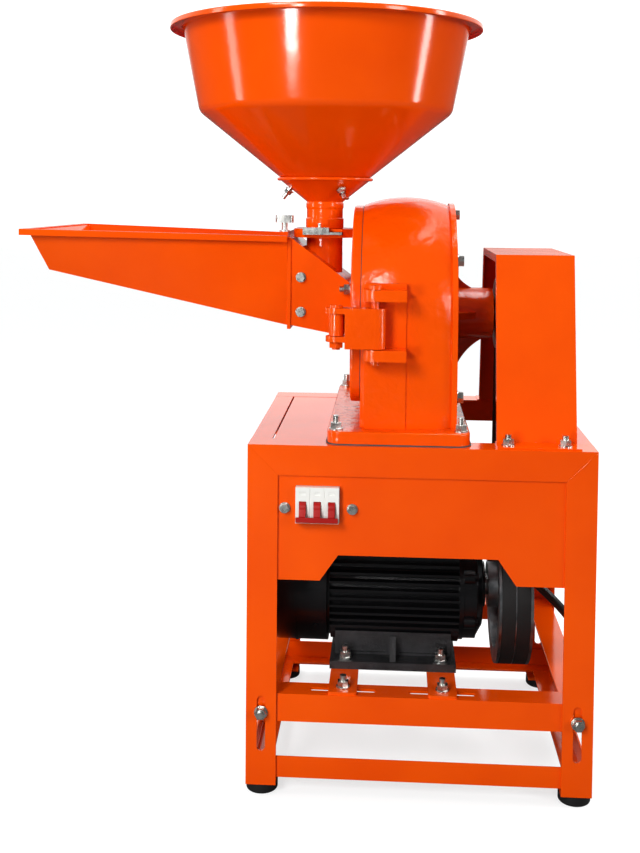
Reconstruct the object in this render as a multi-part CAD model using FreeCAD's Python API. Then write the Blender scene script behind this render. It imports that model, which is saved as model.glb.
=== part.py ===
"""Spice grinding mill: claw disc mill on a welded angle-steel stand, driven by two V-belts.

Millimetres. X runs along the mill shaft (door at -X, pulleys at +X), Y away from the front, Z up.
The origin is on the floor at the middle of the four feet.
"""
import FreeCAD, Part
import math
import os

from FreeCAD import Vector

# Stand
FRAME_W = 430.0          # outer width over the legs
FRAME_D = 380.0          # outer depth over the legs
LEG_H = 431.0            # leg length, to the top of the top rails
ANGLE = 38.0             # leaf width of legs and front/rear top rails
SMALL_ANGLE = 27.0       # leaf width of side and bottom rails
STEEL = 3.0              # leaf thickness
FOOT_H = 12.0            # rubber foot height
FOOT_R = 20.0            # rubber foot radius
FOOT_HOLE_R = 4.25       # anchor bolt hole through foot and foot plate
BOTTOM_RAIL_Z = 21.0     # height of the bottom rails' lower edge
SLOT_W = 10.5            # adjusting slots in the legs
SLOT_L = 70.0
SLOT_Z = 90.5            # centre height of the slots

# Sheet work on the stand
PANEL_T = 1.5            # front panel sheet
PANEL_H = 170.0          # panel height beside the notch
NOTCH_DROP = 137.4       # upper edge of the notch below the top rails
NOTCH_LEFT = 113.5       # notch's upper edge from the stand's left side
NOTCH_RIGHT = 119.0      # and from its right side
NOTCH_SLANT = 22.5       # sideways run of the notch's slanted ends
LID_X1 = -72.0           # inner end of the loose top panel
LID_GAP = 2.0            # open joint at its left and rear edge

# Breaker
BREAKER_LEFT = 87.5      # breaker's middle from the stand's left side
BREAKER_DROP = 73.5      # and below the top rails
BREAKER_W = 54.0
NOSE_H = 45.0
NOSE_OUT = 9.0           # nose in front of the panel
BREAKER_BODY_H = 82.0
BREAKER_DEPTH = 60.0

# Mill head
AXIS_RISE = 149.0        # shaft axis above the top rails
SEAM_X = -77.5           # casing face that the door's gasket meets
CASE_LEN = 115.5         # casing length along the shaft
CASE_R = 159.0           # crown radius of the barrel-shaped casing
CASE_END_R = 148.0       # casing radius at its two ends
CASE_WALL = 8.0
BACK_WALL = 9.0
BASE_GAP = 1.5           # base gasket thickness
BASE_T = 15.0            # base flange thickness
BASE_W = 178.0
BASE_D = 366.0
BASE_X = -28.5
BASE_CORNER = 17.0
BOLT_PITCH_X = 156.0     # base bolts
BOLT_PITCH_Y = BASE_D - 34.0
OUTLET_W = 84.0          # discharge opening along X
OUTLET_D = 200.0         # discharge opening along Y
OUTLET_X = -24.0
DUCT_NECK = 22.0         # duct's fall at its front
DUCT_FALL = 108.0        # and at its rear mouth
DUCT_ROOF = 26.0         # its roof behind the outlet
DUCT_MOUTH = 44.0        # its roof at the mouth
DUCT_OUT = 14.0          # mouth behind the stand

# Bearing bracket and shaft
PLATE_T = 7.0            # back plate
TUBE_R = 35.0
TUBE_END_X = 96.0
RIB_T = 9.0
SHAFT_R = 12.5
BEARING_R = 26.0
BEARING_W = 15.0
RUN_FIT = 0.05           # radial running clearance
COVER_T = 4.0

# Rotor and screen
DISC_R = 108.0
DISC_T = 8.0
DISC_X = -30.0
CLAW_COUNT = 6
CLAW_TIP_X = -62.0
PIN_COUNT = 8
PIN_R = 4.0
PIN_CIRCLE = 57.0
FIXED_RING_T = 6.0
FIXED_RING_R = 96.0
FIXED_HOLE_R = 62.0
TOOTH_COUNT = 24
TOOTH_GAP = 8.0          # from the teeth's tips to the disc
TOOTH_CIRCLE = 85.0
SCREEN_R = 122.0
SCREEN_T = 2.0
SCREEN_SLOTS = 30

# Door
DOOR_T = 12.5
DOOR_R = 147.0
DOOR_RIM = 14.0
DOOR_RECESS = 5.0
DOOR_BOTTOM = 43.0       # door's lower edge above the top rails
DOOR_CORNER = 35.0
GASKET_T = 1.0
FEED_W = 90.0            # feed opening along Y
FEED_LOW = -26.0         # feed opening from the axis
FEED_HIGH = 42.0

# Hinge
PIN_Y = -178.0
CASE_PIN_X = -59.0
DOOR_PIN_X = -107.0
HINGE_PIN_R = 5.0
LUG_T = 14.0
LUG_R = 15.0
LOWER_LUG_Z = -43.5      # lower casing lug's underside from the axis
UPPER_LUG_Z = 30.5       # upper casing lug's underside from the axis
LINK_LOW = -28.7         # link block from the axis
LINK_HIGH = 21.5
LINK_R = 13.0
EAR_T = 7.0
EAR_LOW_Z = -20.5        # underside of the lower ear
DOOR_LUG_GAP = 0.5

# Door lock on the far side
LOCK_X = -60.0
LOCK_Y = 176.0
LOCK_PIN_R = 5.0
LOCK_LEN = 76.0
LOCK_NUT_AT = 40.0
LOCK_NUT_L = 17.0

# Feed chute and tray
FLANGE_X = -178.5        # tray side of the chute's inlet flange
FLANGE_T = 4.5
CHUTE_W = 130.0
CHUTE_TOP = 103.0        # chute roof at the inlet, above the axis
CHUTE_LOW = -14.0        # chute floor at the inlet, below the axis
CHUTE_SLOPE = 0.746      # fall of the roof
FLOOR_SLOPE = 0.19       # fall of the floor
SHEET = 2.5
TRAY_END_X = -487.0      # outer end of the tray's floor
TRAY_LEAN = 20.0         # outer end wall leans out this far
TRAY_FLOOR_RISE = 74.0
TRAY_RIM_RISE = 8.0
TRAY_END_W = 238.0       # floor width at the outer end
TRAY_END_TOP_W = 290.0   # width over the outer end's top
TRAY_LIP = 9.0
TRAY_LIP_H = 8.0
TRAY_SHEET = 2.0

# Hopper
HOPPER_X = -133.0
RIM_Z = 541.0            # rim above the top rails
RIM_R = 214.5
HOPPER_R = 197.0
SHOULDER_R = 174.3
SHOULDER_Z = 423.0
CONE_R = 62.5
CONE_Z = 334.0
HOPPER_SHEET = 2.0
RIM_LIP = 7.0
NECK_R = 25.0
NECK_BORE_R = 22.5
COLLAR_SHEET = 2.5
NEST_GAP = 0.3
PLATE_TOP = 264.0        # slide-gate housing above the top rails
PLATE_H = 12.0
PLATE_SIZE_X = 80.0
PLATE_SIZE_Y = 92.0
PLATE_CUT = 14.0
GATE_SLOT_W = 54.0
GATE_SLOT_H = 4.0
GATE_T = 3.4

# Tray gate
TRAY_GATE_T = 2.0
TRAY_GATE_LIFT = 35.0
HANDLE_Y = -48.0
STEM_R = 4.0

# Drive
RIM_X = 126.0            # middle of both pulleys along the shaft
PULLEY_W = 44.0
BELT_PITCH = 19.0
BELT_TOP = 17.0
BELT_H = 11.0
GROOVE_ANGLE = 38.0
BELT_CLEAR = 0.35
MILL_PULLEY_R = 48.0
MOTOR_PULLEY_R = 102.0

# Belt guard
GUARD_X0 = 95.0
GUARD_W = 100.0
GUARD_SHEET = 2.0
GUARD_H = 235.0
GUARD_TOP_D = 210.0
GUARD_FOOT = 33.0
GUARD_LIP = 8.0

# Motor cradle
CRADLE_TOP = 128.0
CRADLE_ANGLE = 35.0
SLIDE_GAP = 0.3
MOTOR_RAIL_W = 36.0
MOTOR_RAIL_T = 4.0
RAIL_SLOT_L = 84.0
CRADLE_BOLT_Z = 105.5

# Motor
MOTOR_X = -32.0          # middle of the foot bolts
MOTOR_Y = -30.0
MOTOR_H = 90.0           # shaft height above the foot
FOOT_PITCH_X = 125.0
FOOT_PITCH_Y = 140.0
FOOT_PLATE_X = 165.0
FOOT_PLATE_Y = 170.0
FOOT_PLATE_T = 10.0
BLOCK_X = 154.0          # pedestal under the motor body
BLOCK_Y = 116.0
FOOT_RIB = 26.0          # middle rib's height and reach
BODY_X0 = -120.0
BODY_X1 = 61.0
CORE_R = 65.0
FIN_R = 76.0
FIN_T = 3.2
FIN_PITCH = 10.4
FIN_ROWS = 5
BELL_L = 26.0
COWL_X0 = -196.0
COWL_R = 79.0
COWL_T = 1.5
MOTOR_SHAFT_R = 14.0
FAN_R = 62.0
BOX_X = 100.0
BOX_Y = 80.0
BOX_Z = 44.0

# Supply cord
CORD_R = 5.5
COIL_IN_R = 50.0
COIL_OUT_R = 72.0
COIL_H = 22.0
COIL_X = -30.0
COIL_Y = 300.0

# Fasteners: metric size, half width over flats, head height, washer radius
M8 = (4.0, 6.5, 6.8, 8.5)
M6 = (3.0, 5.0, 5.0, 6.8)
WASHER_T = 1.6

# Derived places
TOP = FOOT_H + LEG_H
XO = FRAME_W / 2
YO = FRAME_D / 2
AXIS_Z = TOP + AXIS_RISE
BASE_Z = TOP + BASE_GAP
PANEL_LOW = TOP - PANEL_H
NOTCH_TOP = TOP - NOTCH_DROP
NOTCH_X0 = -XO + NOTCH_LEFT
NOTCH_X1 = XO - NOTCH_RIGHT
BREAKER_X = -XO + BREAKER_LEFT
BREAKER_Z = TOP - BREAKER_DROP
BASE_TOP = BASE_Z + BASE_T
CASE_X1 = SEAM_X + CASE_LEN
PLATE_X1 = CASE_X1 + PLATE_T
DOOR_IN = SEAM_X - GASKET_T
DOOR_OUT = DOOR_IN - DOOR_T
MOTOR_Z = CRADLE_TOP + MOTOR_RAIL_T + MOTOR_H
FOOT_TOP = CRADLE_TOP + MOTOR_RAIL_T + FOOT_PLATE_T
PULLEY_X0 = RIM_X - PULLEY_W / 2
PULLEY_X1 = RIM_X + PULLEY_W / 2
PANEL_Y = -YO + STEEL + PANEL_T
AX = Vector(1, 0, 0)
AY = Vector(0, 1, 0)
AZ = Vector(0, 0, 1)


# Small helpers
def box(x0, x1, y0, y1, z0, z1):
    return Part.makeBox(x1 - x0, y1 - y0, z1 - z0, Vector(x0, y0, z0))


def rod(start, axis, radius, length):
    return Part.makeCylinder(radius, length, Vector(*start), axis)


def ring(start, axis, outer, inner, length):
    return rod(start, axis, outer, length).cut(rod(start, axis, inner, length))


def prism(points, sweep):
    """Closed polygon swept by a vector."""
    corners = [Vector(*p) for p in points]
    return Part.Face(Part.makePolygon(corners + corners[:1])).extrude(Vector(*sweep))


def joined(shapes):
    return shapes[0].multiFuse(shapes[1:]).removeSplitter()


def group(shapes):
    return Part.makeCompound(shapes)


def mirror_x(shape):
    return shape.mirror(Vector(0, 0, 0), AX)


def mirror_y(shape):
    return shape.mirror(Vector(0, 0, 0), AY)


def slot_z(x, y0, y1, z, width, length):
    """Round-ended upright slot, cut through along Y."""
    r = width / 2
    half = length / 2 - r
    body = box(x - r, x + r, y0, y1, z - half, z + half)
    ends = [rod((x, y0, z + s * half), AY, r, y1 - y0) for s in (-1, 1)]
    return joined([body] + ends)


def slot_x(x, y, z0, z1, width, length):
    """Round-ended slot along X, cut through along Z."""
    r = width / 2
    half = length / 2 - r
    body = box(x - half, x + half, y - r, y + r, z0, z1)
    ends = [rod((x + s * half, y, z0), AZ, r, z1 - z0) for s in (-1, 1)]
    return joined([body] + ends)


def hexagon(centre, axis, half_flats, height):
    """Hexagonal prism that starts at centre and grows along axis."""
    side = Vector(0, 0, 1) if abs(axis.z) < 0.9 else Vector(1, 0, 0)
    u = axis.cross(side).normalize()
    v = axis.cross(u)
    reach = half_flats / math.cos(math.pi / 6)
    base = Vector(*centre)
    corners = []
    for k in range(6):
        a = math.radians(60 * k)
        corners.append(base + u * (reach * math.cos(a)) + v * (reach * math.sin(a)))
    return Part.Face(Part.makePolygon(corners + corners[:1])).extrude(axis * height)


def screw(seat, axis, size, grip, stud=0.0):
    """Washer and hexagon on a seat, a shank back through the grip and a stud end past the hexagon."""
    radius, flats, height, washer = size
    base = Vector(*seat)
    parts = [rod(base, axis, washer, WASHER_T), hexagon(base + axis * WASHER_T, axis, flats, height)]
    shank_start = base - axis * grip
    parts.append(rod(shank_start, axis, radius, grip + WASHER_T + height + stud))
    return joined(parts)


def rounded_plate(x, y, z0, width, depth, height, corner):
    plate = box(x - width / 2, x + width / 2, y - depth / 2, y + depth / 2, z0, z0 + height)
    edges = [e for e in plate.Edges if abs(e.Vertexes[0].Z - e.Vertexes[1].Z) > height / 2]
    return plate.makeFillet(corner, edges)


def arch_face(x, radius, low_z, corner=0.0):
    """Upright face in the YZ plane: half circle about the shaft axis with straight sides below."""
    if corner:
        c = corner
        k = c * (1 - math.sqrt(0.5))
        pts = {
            "a": Vector(x, -radius, AXIS_Z), "b": Vector(x, -radius, low_z + c),
            "bc": Vector(x, -radius + k, low_z + k), "c": Vector(x, -radius + c, low_z),
            "d": Vector(x, radius - c, low_z), "de": Vector(x, radius - k, low_z + k),
            "e": Vector(x, radius, low_z + c), "f": Vector(x, radius, AXIS_Z)}
        edges = [Part.makeLine(pts["a"], pts["b"]), Part.Arc(pts["b"], pts["bc"], pts["c"]).toShape(),
                 Part.makeLine(pts["c"], pts["d"]), Part.Arc(pts["d"], pts["de"], pts["e"]).toShape(),
                 Part.makeLine(pts["e"], pts["f"])]
    else:
        a, b = Vector(x, -radius, AXIS_Z), Vector(x, -radius, low_z)
        c, d = Vector(x, radius, low_z), Vector(x, radius, AXIS_Z)
        edges = [Part.makeLine(a, b), Part.makeLine(b, c), Part.makeLine(c, d)]
    crown = Part.Arc(Vector(x, radius, AXIS_Z), Vector(x, 0, AXIS_Z + radius), Vector(x, -radius, AXIS_Z))
    return Part.Face(Part.Wire(edges + [crown.toShape()]))


def barrel(x0, x1, end_r, crown_r, low_z):
    """Barrel-shaped casing body: a bulged profile turned about the shaft and carried straight down."""
    mid = (x0 + x1) / 2
    edge_a, top, edge_b = Vector(x0, 0, AXIS_Z + end_r), Vector(mid, 0, AXIS_Z + crown_r), Vector(x1, 0, AXIS_Z + end_r)
    foot_a, foot_b = Vector(x0, 0, AXIS_Z), Vector(x1, 0, AXIS_Z)
    arc = Part.Arc(edge_a, top, edge_b).toShape()
    wire = Part.Wire([Part.makeLine(foot_a, edge_a), arc, Part.makeLine(edge_b, foot_b),
                      Part.makeLine(foot_b, foot_a)])
    dome = Part.Face(wire).revolve(Vector(0, 0, AXIS_Z), AX, 360)
    flat = Part.Face(wire)
    flat.rotate(Vector(0, 0, AXIS_Z), AX, 90)
    skirt = flat.extrude(Vector(0, 0, low_z - AXIS_Z))
    other = flat.copy()
    other.rotate(Vector(0, 0, AXIS_Z), AX, 180)
    skirt_other = other.extrude(Vector(0, 0, low_z - AXIS_Z))
    body = dome.fuse([skirt, skirt_other])
    return body.common(box(x0 - 1, x1 + 1, -crown_r - 1, crown_r + 1, low_z, AXIS_Z + crown_r + 1)).removeSplitter()


# Stand
def leg_front_left():
    face = prism([(-XO, -YO, FOOT_H), (-XO + ANGLE, -YO, FOOT_H), (-XO + ANGLE, -YO, TOP - ANGLE),
                  (-XO, -YO, TOP)], (0, STEEL, 0))
    side = box(-XO, -XO + STEEL, -YO + STEEL, -YO + ANGLE, FOOT_H, TOP - STEEL)
    plate = box(-XO + STEEL, -XO + ANGLE, -YO + STEEL, -YO + ANGLE, FOOT_H, FOOT_H + STEEL)
    leg = joined([face, side, plate])
    x, y = -XO + ANGLE / 2, -YO + ANGLE / 2
    leg = leg.cut(slot_z(x, -YO - 1, -YO + STEEL + 1, SLOT_Z, SLOT_W, SLOT_L))
    return leg.cut(rod((x, y, FOOT_H - 1), AZ, FOOT_HOLE_R, STEEL + 2))


def top_rail_front():
    face = prism([(-XO, -YO, TOP), (-XO + ANGLE, -YO, TOP - ANGLE), (XO - ANGLE, -YO, TOP - ANGLE),
                  (XO, -YO, TOP)], (0, STEEL, 0))
    leaf = box(-XO, XO, -YO + STEEL, -YO + ANGLE, TOP - STEEL, TOP)
    rail = joined([face, leaf])
    for x, y in base_bolt_points() + guard_bolt_points():
        if y < 0:
            rail = rail.cut(rod((x, y, TOP - STEEL - 1), AZ, M8[0] + 0.5, STEEL + 2))
    return rail


def top_rail_left():
    end = YO - ANGLE
    leaf = box(-XO, -XO + SMALL_ANGLE, -end, end, TOP - STEEL, TOP)
    wall = box(-XO, -XO + STEEL, -end, end, TOP - SMALL_ANGLE, TOP - STEEL)
    return joined([leaf, wall])


def bottom_rails():
    z0, z1 = BOTTOM_RAIL_Z, BOTTOM_RAIL_Z + SMALL_ANGLE
    x, y = XO - STEEL, YO - STEEL
    wall = box(-x, x, -y, -y + STEEL, z0, z1)
    leaf = box(-x, x, -y + STEEL, -y + SMALL_ANGLE, z0, z0 + STEEL)
    front = joined([wall, leaf])
    end = y - SMALL_ANGLE
    side = joined([box(-x, -x + STEEL, -end, end, z0, z1),
                   box(-x + STEEL, -x + SMALL_ANGLE, -end, end, z0, z0 + STEEL)])
    return [front, mirror_y(front), side, mirror_x(side)]


def rubber_feet():
    feet = []
    for sx in (-1, 1):
        for sy in (-1, 1):
            x, y = sx * (XO - ANGLE / 2), sy * (YO - ANGLE / 2)
            disc = rod((x, y, 0), AZ, FOOT_R, FOOT_H)
            low = [e for e in disc.Edges if e.BoundBox.ZMax < 0.1]
            disc = disc.makeFillet(3.0, low)
            feet.append(disc.cut(rod((x, y, -1), AZ, FOOT_HOLE_R, FOOT_H + 2)))
    return group(feet)


def panel_bolt_points():
    return [(BREAKER_X + 1 - 42, BREAKER_Z - 5.5), (BREAKER_X + 1 + 42, BREAKER_Z - 5.5)]


def front_panel():
    y = -YO + STEEL
    x = XO - STEEL
    sheet = prism([(-x, y, PANEL_LOW), (NOTCH_X0 - NOTCH_SLANT, y, PANEL_LOW), (NOTCH_X0, y, NOTCH_TOP),
                   (NOTCH_X1, y, NOTCH_TOP), (NOTCH_X1 + NOTCH_SLANT, y, PANEL_LOW), (x, y, PANEL_LOW),
                   (x, y, TOP - STEEL), (-x, y, TOP - STEEL)], (0, PANEL_T, 0))
    hole = box(BREAKER_X - BREAKER_W / 2 - 0.3, BREAKER_X + BREAKER_W / 2 + 0.3, y - 1, y + PANEL_T + 1,
               BREAKER_Z - NOSE_H / 2 - 0.3, BREAKER_Z + NOSE_H / 2 + 0.3)
    sheet = sheet.cut(hole)
    for bx, bz in panel_bolt_points():
        sheet = sheet.cut(rod((bx, y - 1, bz), AY, M6[0] + 0.3, PANEL_T + 2))
    return sheet


def top_panel():
    end = YO - ANGLE
    x0 = -XO + SMALL_ANGLE + LID_GAP
    return box(x0, LID_X1, -end, end - LID_GAP, TOP - STEEL, TOP)


# Breaker
def breaker_body():
    x0, x1 = BREAKER_X - BREAKER_W / 2, BREAKER_X + BREAKER_W / 2
    y_nose = -YO + STEEL - NOSE_OUT
    z0, z1 = BREAKER_Z - NOSE_H / 2, BREAKER_Z + NOSE_H / 2
    nose = box(x0, x1, y_nose, PANEL_Y, z0, z1)
    body = box(x0, x1, PANEL_Y, PANEL_Y + BREAKER_DEPTH, BREAKER_Z - BREAKER_BODY_H / 2,
               BREAKER_Z + BREAKER_BODY_H / 2)
    case = joined([nose, body])
    pitch = BREAKER_W / 3
    pivot = toggle_pivot()
    for k in range(3):
        x = x0 + pitch * (k + 0.5)
        case = case.cut(rod((x - 4.6, pivot[0], pivot[1]), AX, 10.6, 9.2))
        case = case.cut(box(x - 3.5, x + 3.5, y_nose - 1, y_nose + 0.8, z1 - 9.5, z1 - 6.0))
    for k in (1, 2):
        x = x0 + pitch * k
        case = case.cut(box(x - 0.4, x + 0.4, y_nose - 1, y_nose + 0.8, z0 - 1, z1 + 1))
    return case


def toggle_pivot():
    """Y and Z of the toggles' rocking axis, just behind the nose's face."""
    return (-YO + STEEL - NOSE_OUT + 6.0, BREAKER_Z - 4.0)


def breaker_toggles():
    """Three toggles tied by one bar, thrown down."""
    y, z = toggle_pivot()
    x0 = BREAKER_X - BREAKER_W / 2
    pitch = BREAKER_W / 3
    face = y - 6.0
    parts = []
    for k in range(3):
        x = x0 + pitch * (k + 0.5)
        parts.append(rod((x - 4.2, y, z), AX, 10.0, 8.4))
        parts.append(prism([(x - 4.2, face - 2, z + 3), (x - 4.2, y, z + 4), (x - 4.2, y, z - 6),
                            (x - 4.2, face - 7, z - 10), (x - 4.2, face - 8, z - 8)], (8.4, 0, 0)))
    bar = prism([(x0 + 1, face - 1.2, z - 11), (x0 + 1, face - 9, z - 8.6), (x0 + 1, face - 9.5, z - 15),
                 (x0 + 1, face - 1.2, z - 17.5)], (BREAKER_W - 2, 0, 0))
    return joined(parts + [bar])


def panel_bolts():
    seat_y = -YO + STEEL
    return group([screw((x, seat_y, z), AY * -1, M6, PANEL_T + 8) for x, z in panel_bolt_points()])


# Mill head
def base_bolt_points():
    return [(BASE_X + sx * BOLT_PITCH_X / 2, sy * BOLT_PITCH_Y / 2) for sx in (-1, 1) for sy in (-1, 1)]


def guard_bolt_points():
    mid = GUARD_X0 + GUARD_W / 2 - 2.5
    y = YO - ANGLE / 2
    return [(mid + sx * 35.0, sy * y) for sx in (-1, 1) for sy in (-1, 1)]


def mill_casing():
    outer = barrel(SEAM_X, CASE_X1, CASE_END_R, CASE_R, BASE_TOP)
    base = rounded_plate(BASE_X, 0, BASE_Z, BASE_W, BASE_D, BASE_T, BASE_CORNER)
    upper_edge = [e for e in base.Edges if e.BoundBox.ZMin > BASE_TOP - 0.1]
    base = base.makeFillet(2.0, upper_edge)
    pad = box(-72.0, -20.0, -CASE_R - 2.0, -CASE_END_R + 6, BASE_TOP - 1, AXIS_Z + UPPER_LUG_Z + LUG_T + 6)
    body = joined([outer, base, pad] + casing_lugs() + [lock_post()])
    inner_r = CASE_END_R - CASE_WALL
    back = CASE_X1 - BACK_WALL
    room = arch_face(SEAM_X - 1, inner_r, BASE_TOP + 5).extrude(Vector(back - SEAM_X + 1, 0, 0))
    body = body.cut(room)
    outlet = box(OUTLET_X - OUTLET_W / 2, OUTLET_X + OUTLET_W / 2, -OUTLET_D / 2, OUTLET_D / 2,
                 BASE_Z - 1, BASE_TOP + 7)
    body = body.cut(outlet)
    body = body.cut(rod((back - 1, 0, AXIS_Z), AX, SHAFT_R + 2, BACK_WALL + 2))
    for x, y in base_bolt_points():
        body = body.cut(rod((x, y, BASE_Z - 1), AZ, M8[0] + 0.5, BASE_T + 2))
    return body


def casing_lugs():
    """Two ears on the front of the casing that carry the link's pin."""
    lugs = []
    for z in (AXIS_Z + LOWER_LUG_Z, AXIS_Z + UPPER_LUG_Z):
        nose = rod((CASE_PIN_X, PIN_Y, z), AZ, LUG_R, LUG_T)
        web = box(CASE_PIN_X, -20.0, PIN_Y - LUG_R, -CASE_END_R + 4, z, z + LUG_T)
        root = box(CASE_PIN_X - LUG_R, CASE_PIN_X, PIN_Y, -CASE_END_R + 4, z, z + LUG_T)
        lug = joined([nose, web, root])
        lugs.append(lug.cut(rod((CASE_PIN_X, PIN_Y, z - 1), AZ, HINGE_PIN_R + RUN_FIT, LUG_T + 2)))
    return lugs


def lock_post():
    """Boss and pivot for the swing bolt, on the far side of the casing."""
    y0 = CASE_END_R - 6
    boss = rod((LOCK_X, y0, AXIS_Z), AY, 12.0, LOCK_Y - 7 - y0)
    pin = rod((LOCK_X, y0, AXIS_Z), AY, LOCK_PIN_R, LOCK_Y + 8 - y0)
    head = rod((LOCK_X, LOCK_Y + 7.5, AXIS_Z), AY, 8.0, 4.0)
    return joined([boss, pin, head])


def base_gasket():
    pad = rounded_plate(BASE_X, 0, TOP, BASE_W + 3, BASE_D + 3, BASE_GAP, BASE_CORNER + 1.5)
    pad = pad.cut(box(OUTLET_X - OUTLET_W / 2, OUTLET_X + OUTLET_W / 2, -OUTLET_D / 2, OUTLET_D / 2,
                      TOP - 1, BASE_Z + 1))
    for x, y in base_bolt_points():
        pad = pad.cut(rod((x, y, TOP - 1), AZ, M8[0] + 0.5, BASE_GAP + 2))
    return pad


def mill_bolts():
    """Base bolts of the casing, foot bolts of the guard and the bracket's bolts, one size."""
    bolts = [screw((PLATE_X1, y, z), AX, M8, PLATE_T) for y, z in bracket_bolt_points()]
    for x, y in base_bolt_points():
        bolts.append(screw((x, y, BASE_TOP), AZ, M8, BASE_T + BASE_GAP + STEEL, 9.0))
    for x, y in guard_bolt_points():
        bolts.append(screw((x, y, TOP + GUARD_SHEET), AZ, M8, GUARD_SHEET + STEEL, 5.0))
    return group(bolts)


def bracket_bolt_points():
    ang = [35, 90, 145]
    pts = [(CASE_END_R - 13) * math.cos(math.radians(a)) for a in ang]
    ups = [(CASE_END_R - 13) * math.sin(math.radians(a)) for a in ang]
    crown = [(y, AXIS_Z + z) for y, z in zip(pts, ups)]
    low = [(s * (CASE_END_R - 13), AXIS_Z - 95) for s in (-1, 1)]
    return crown + low


def rib_profile(x0, z0, x1, z1, sag):
    """Upright web in the XZ plane with a hollow curved free edge from (x0, z0) to (x1, z1)."""
    a, b = Vector(x0, -RIB_T / 2, z0), Vector(x1, -RIB_T / 2, z1)
    corner = Vector(x0, -RIB_T / 2, z1)
    mid = (a + b) * 0.5 + (corner - (a + b) * 0.5) * sag
    curve = Part.Arc(a, mid, b).toShape()
    wire = Part.Wire([curve, Part.makeLine(b, corner), Part.makeLine(corner, a)])
    return Part.Face(wire).extrude(Vector(0, RIB_T, 0))


def bearing_bracket():
    plate = arch_face(CASE_X1, CASE_END_R + 3, BASE_TOP).extrude(Vector(PLATE_T, 0, 0))
    tube = rod((CASE_X1, 0, AXIS_Z), AX, TUBE_R, TUBE_END_X - CASE_X1)
    x0 = PLATE_X1
    upper = rib_profile(x0, AXIS_Z + TUBE_R + 27, TUBE_END_X - 3, AXIS_Z + TUBE_R - 6, 0.3)
    nose = box(x0 - 1, x0 + 8, -RIB_T / 2, RIB_T / 2, AXIS_Z + TUBE_R - 4, AXIS_Z + TUBE_R + 27)
    lower = rib_profile(x0, BASE_TOP + 30, TUBE_END_X - 6, AXIS_Z - TUBE_R + 2, 0.3)
    side = [prism([(x0 - 1, s * (TUBE_R - 4), AXIS_Z - RIB_T / 2), (x0 - 1, s * (TUBE_R + 30), AXIS_Z - RIB_T / 2),
                   (x0 + 34, s * (TUBE_R - 4), AXIS_Z - RIB_T / 2)], (0, 0, RIB_T)) for s in (-1, 1)]
    body = joined([plate, tube, upper, nose, lower] + side)
    body = body.cut(rod((CASE_X1 - 1, 0, AXIS_Z), AX, BEARING_R, TUBE_END_X - CASE_X1 + 2))
    for y, z in bracket_bolt_points():
        body = body.cut(rod((CASE_X1 - 1, y, z), AX, M8[0], PLATE_T + 2))
    return body


def mill_bearings():
    bearings = []
    for x in (CASE_X1 + 4, TUBE_END_X - BEARING_W):
        race = ring((x, 0, AXIS_Z), AX, BEARING_R, SHAFT_R + RUN_FIT, BEARING_W)
        groove = ring((x - 1, 0, AXIS_Z), AX, BEARING_R - 4, SHAFT_R + 4, 3)
        groove_b = ring((x + BEARING_W - 2, 0, AXIS_Z), AX, BEARING_R - 4, SHAFT_R + 4, 3)
        bearings.append(race.cut(groove).cut(groove_b))
    return group(bearings)


def bearing_cover():
    cap = ring((TUBE_END_X, 0, AXIS_Z), AX, TUBE_R - 1, SHAFT_R + 1.5, COVER_T)
    edge = [e for e in cap.Edges if e.BoundBox.XMin > TUBE_END_X + COVER_T - 0.1 and e.Length > 150]
    return cap.makeFillet(1.5, edge)


def mill_shaft():
    nose_x = DISC_X - 14
    shaft = rod((nose_x, 0, AXIS_Z), AX, SHAFT_R, PULLEY_X1 + 3 - nose_x)
    nut = hexagon((DISC_X - 11, 0, AXIS_Z), AX, 17.0, 10.6)
    return joined([shaft, nut])


def rotor():
    """Moving disc: hub, six flat claws at the rim and a ring of round pins."""
    disc = rod((DISC_X, 0, AXIS_Z), AX, DISC_R, DISC_T)
    hub = rod((DISC_X - 0.2, 0, AXIS_Z), AX, 24.0, DISC_T + 22)
    parts = [disc, hub]
    for k in range(CLAW_COUNT):
        claw = box(CLAW_TIP_X, DISC_X + 1, -7.0, 7.0, DISC_R - 7, DISC_R + 6)
        head = box(DISC_X, DISC_X + DISC_T, -10.0, 10.0, DISC_R - 14, DISC_R + 6)
        pair = claw.fuse(head)
        pair.translate(Vector(0, 0, AXIS_Z))
        pair.rotate(Vector(0, 0, AXIS_Z), AX, 360.0 * k / CLAW_COUNT)
        parts.append(pair)
    for k in range(PIN_COUNT):
        a = 2 * math.pi * k / PIN_COUNT
        y, z = PIN_CIRCLE * math.cos(a), AXIS_Z + PIN_CIRCLE * math.sin(a)
        parts.append(rod((CLAW_TIP_X, y, z), AX, PIN_R, DISC_X + 1 - CLAW_TIP_X))
    body = joined(parts)
    return body.cut(rod((DISC_X - 5, 0, AXIS_Z), AX, SHAFT_R, DISC_T + 40))


def screen_ring():
    """Sieve round the rotor, with long slots, held between the door and the back wall."""
    x0, x1 = SEAM_X + 0.4, CASE_X1 - BACK_WALL
    sieve = ring((x0, 0, AXIS_Z), AX, SCREEN_R + SCREEN_T, SCREEN_R, x1 - x0)
    for k in range(SCREEN_SLOTS):
        cut = box(x0 + 12, x1 - 12, -5.0, 5.0, SCREEN_R - 2, SCREEN_R + SCREEN_T + 2)
        cut.translate(Vector(0, 0, AXIS_Z))
        cut.rotate(Vector(0, 0, AXIS_Z), AX, 360.0 * k / SCREEN_SLOTS)
        sieve = sieve.cut(cut)
    return sieve


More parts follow.
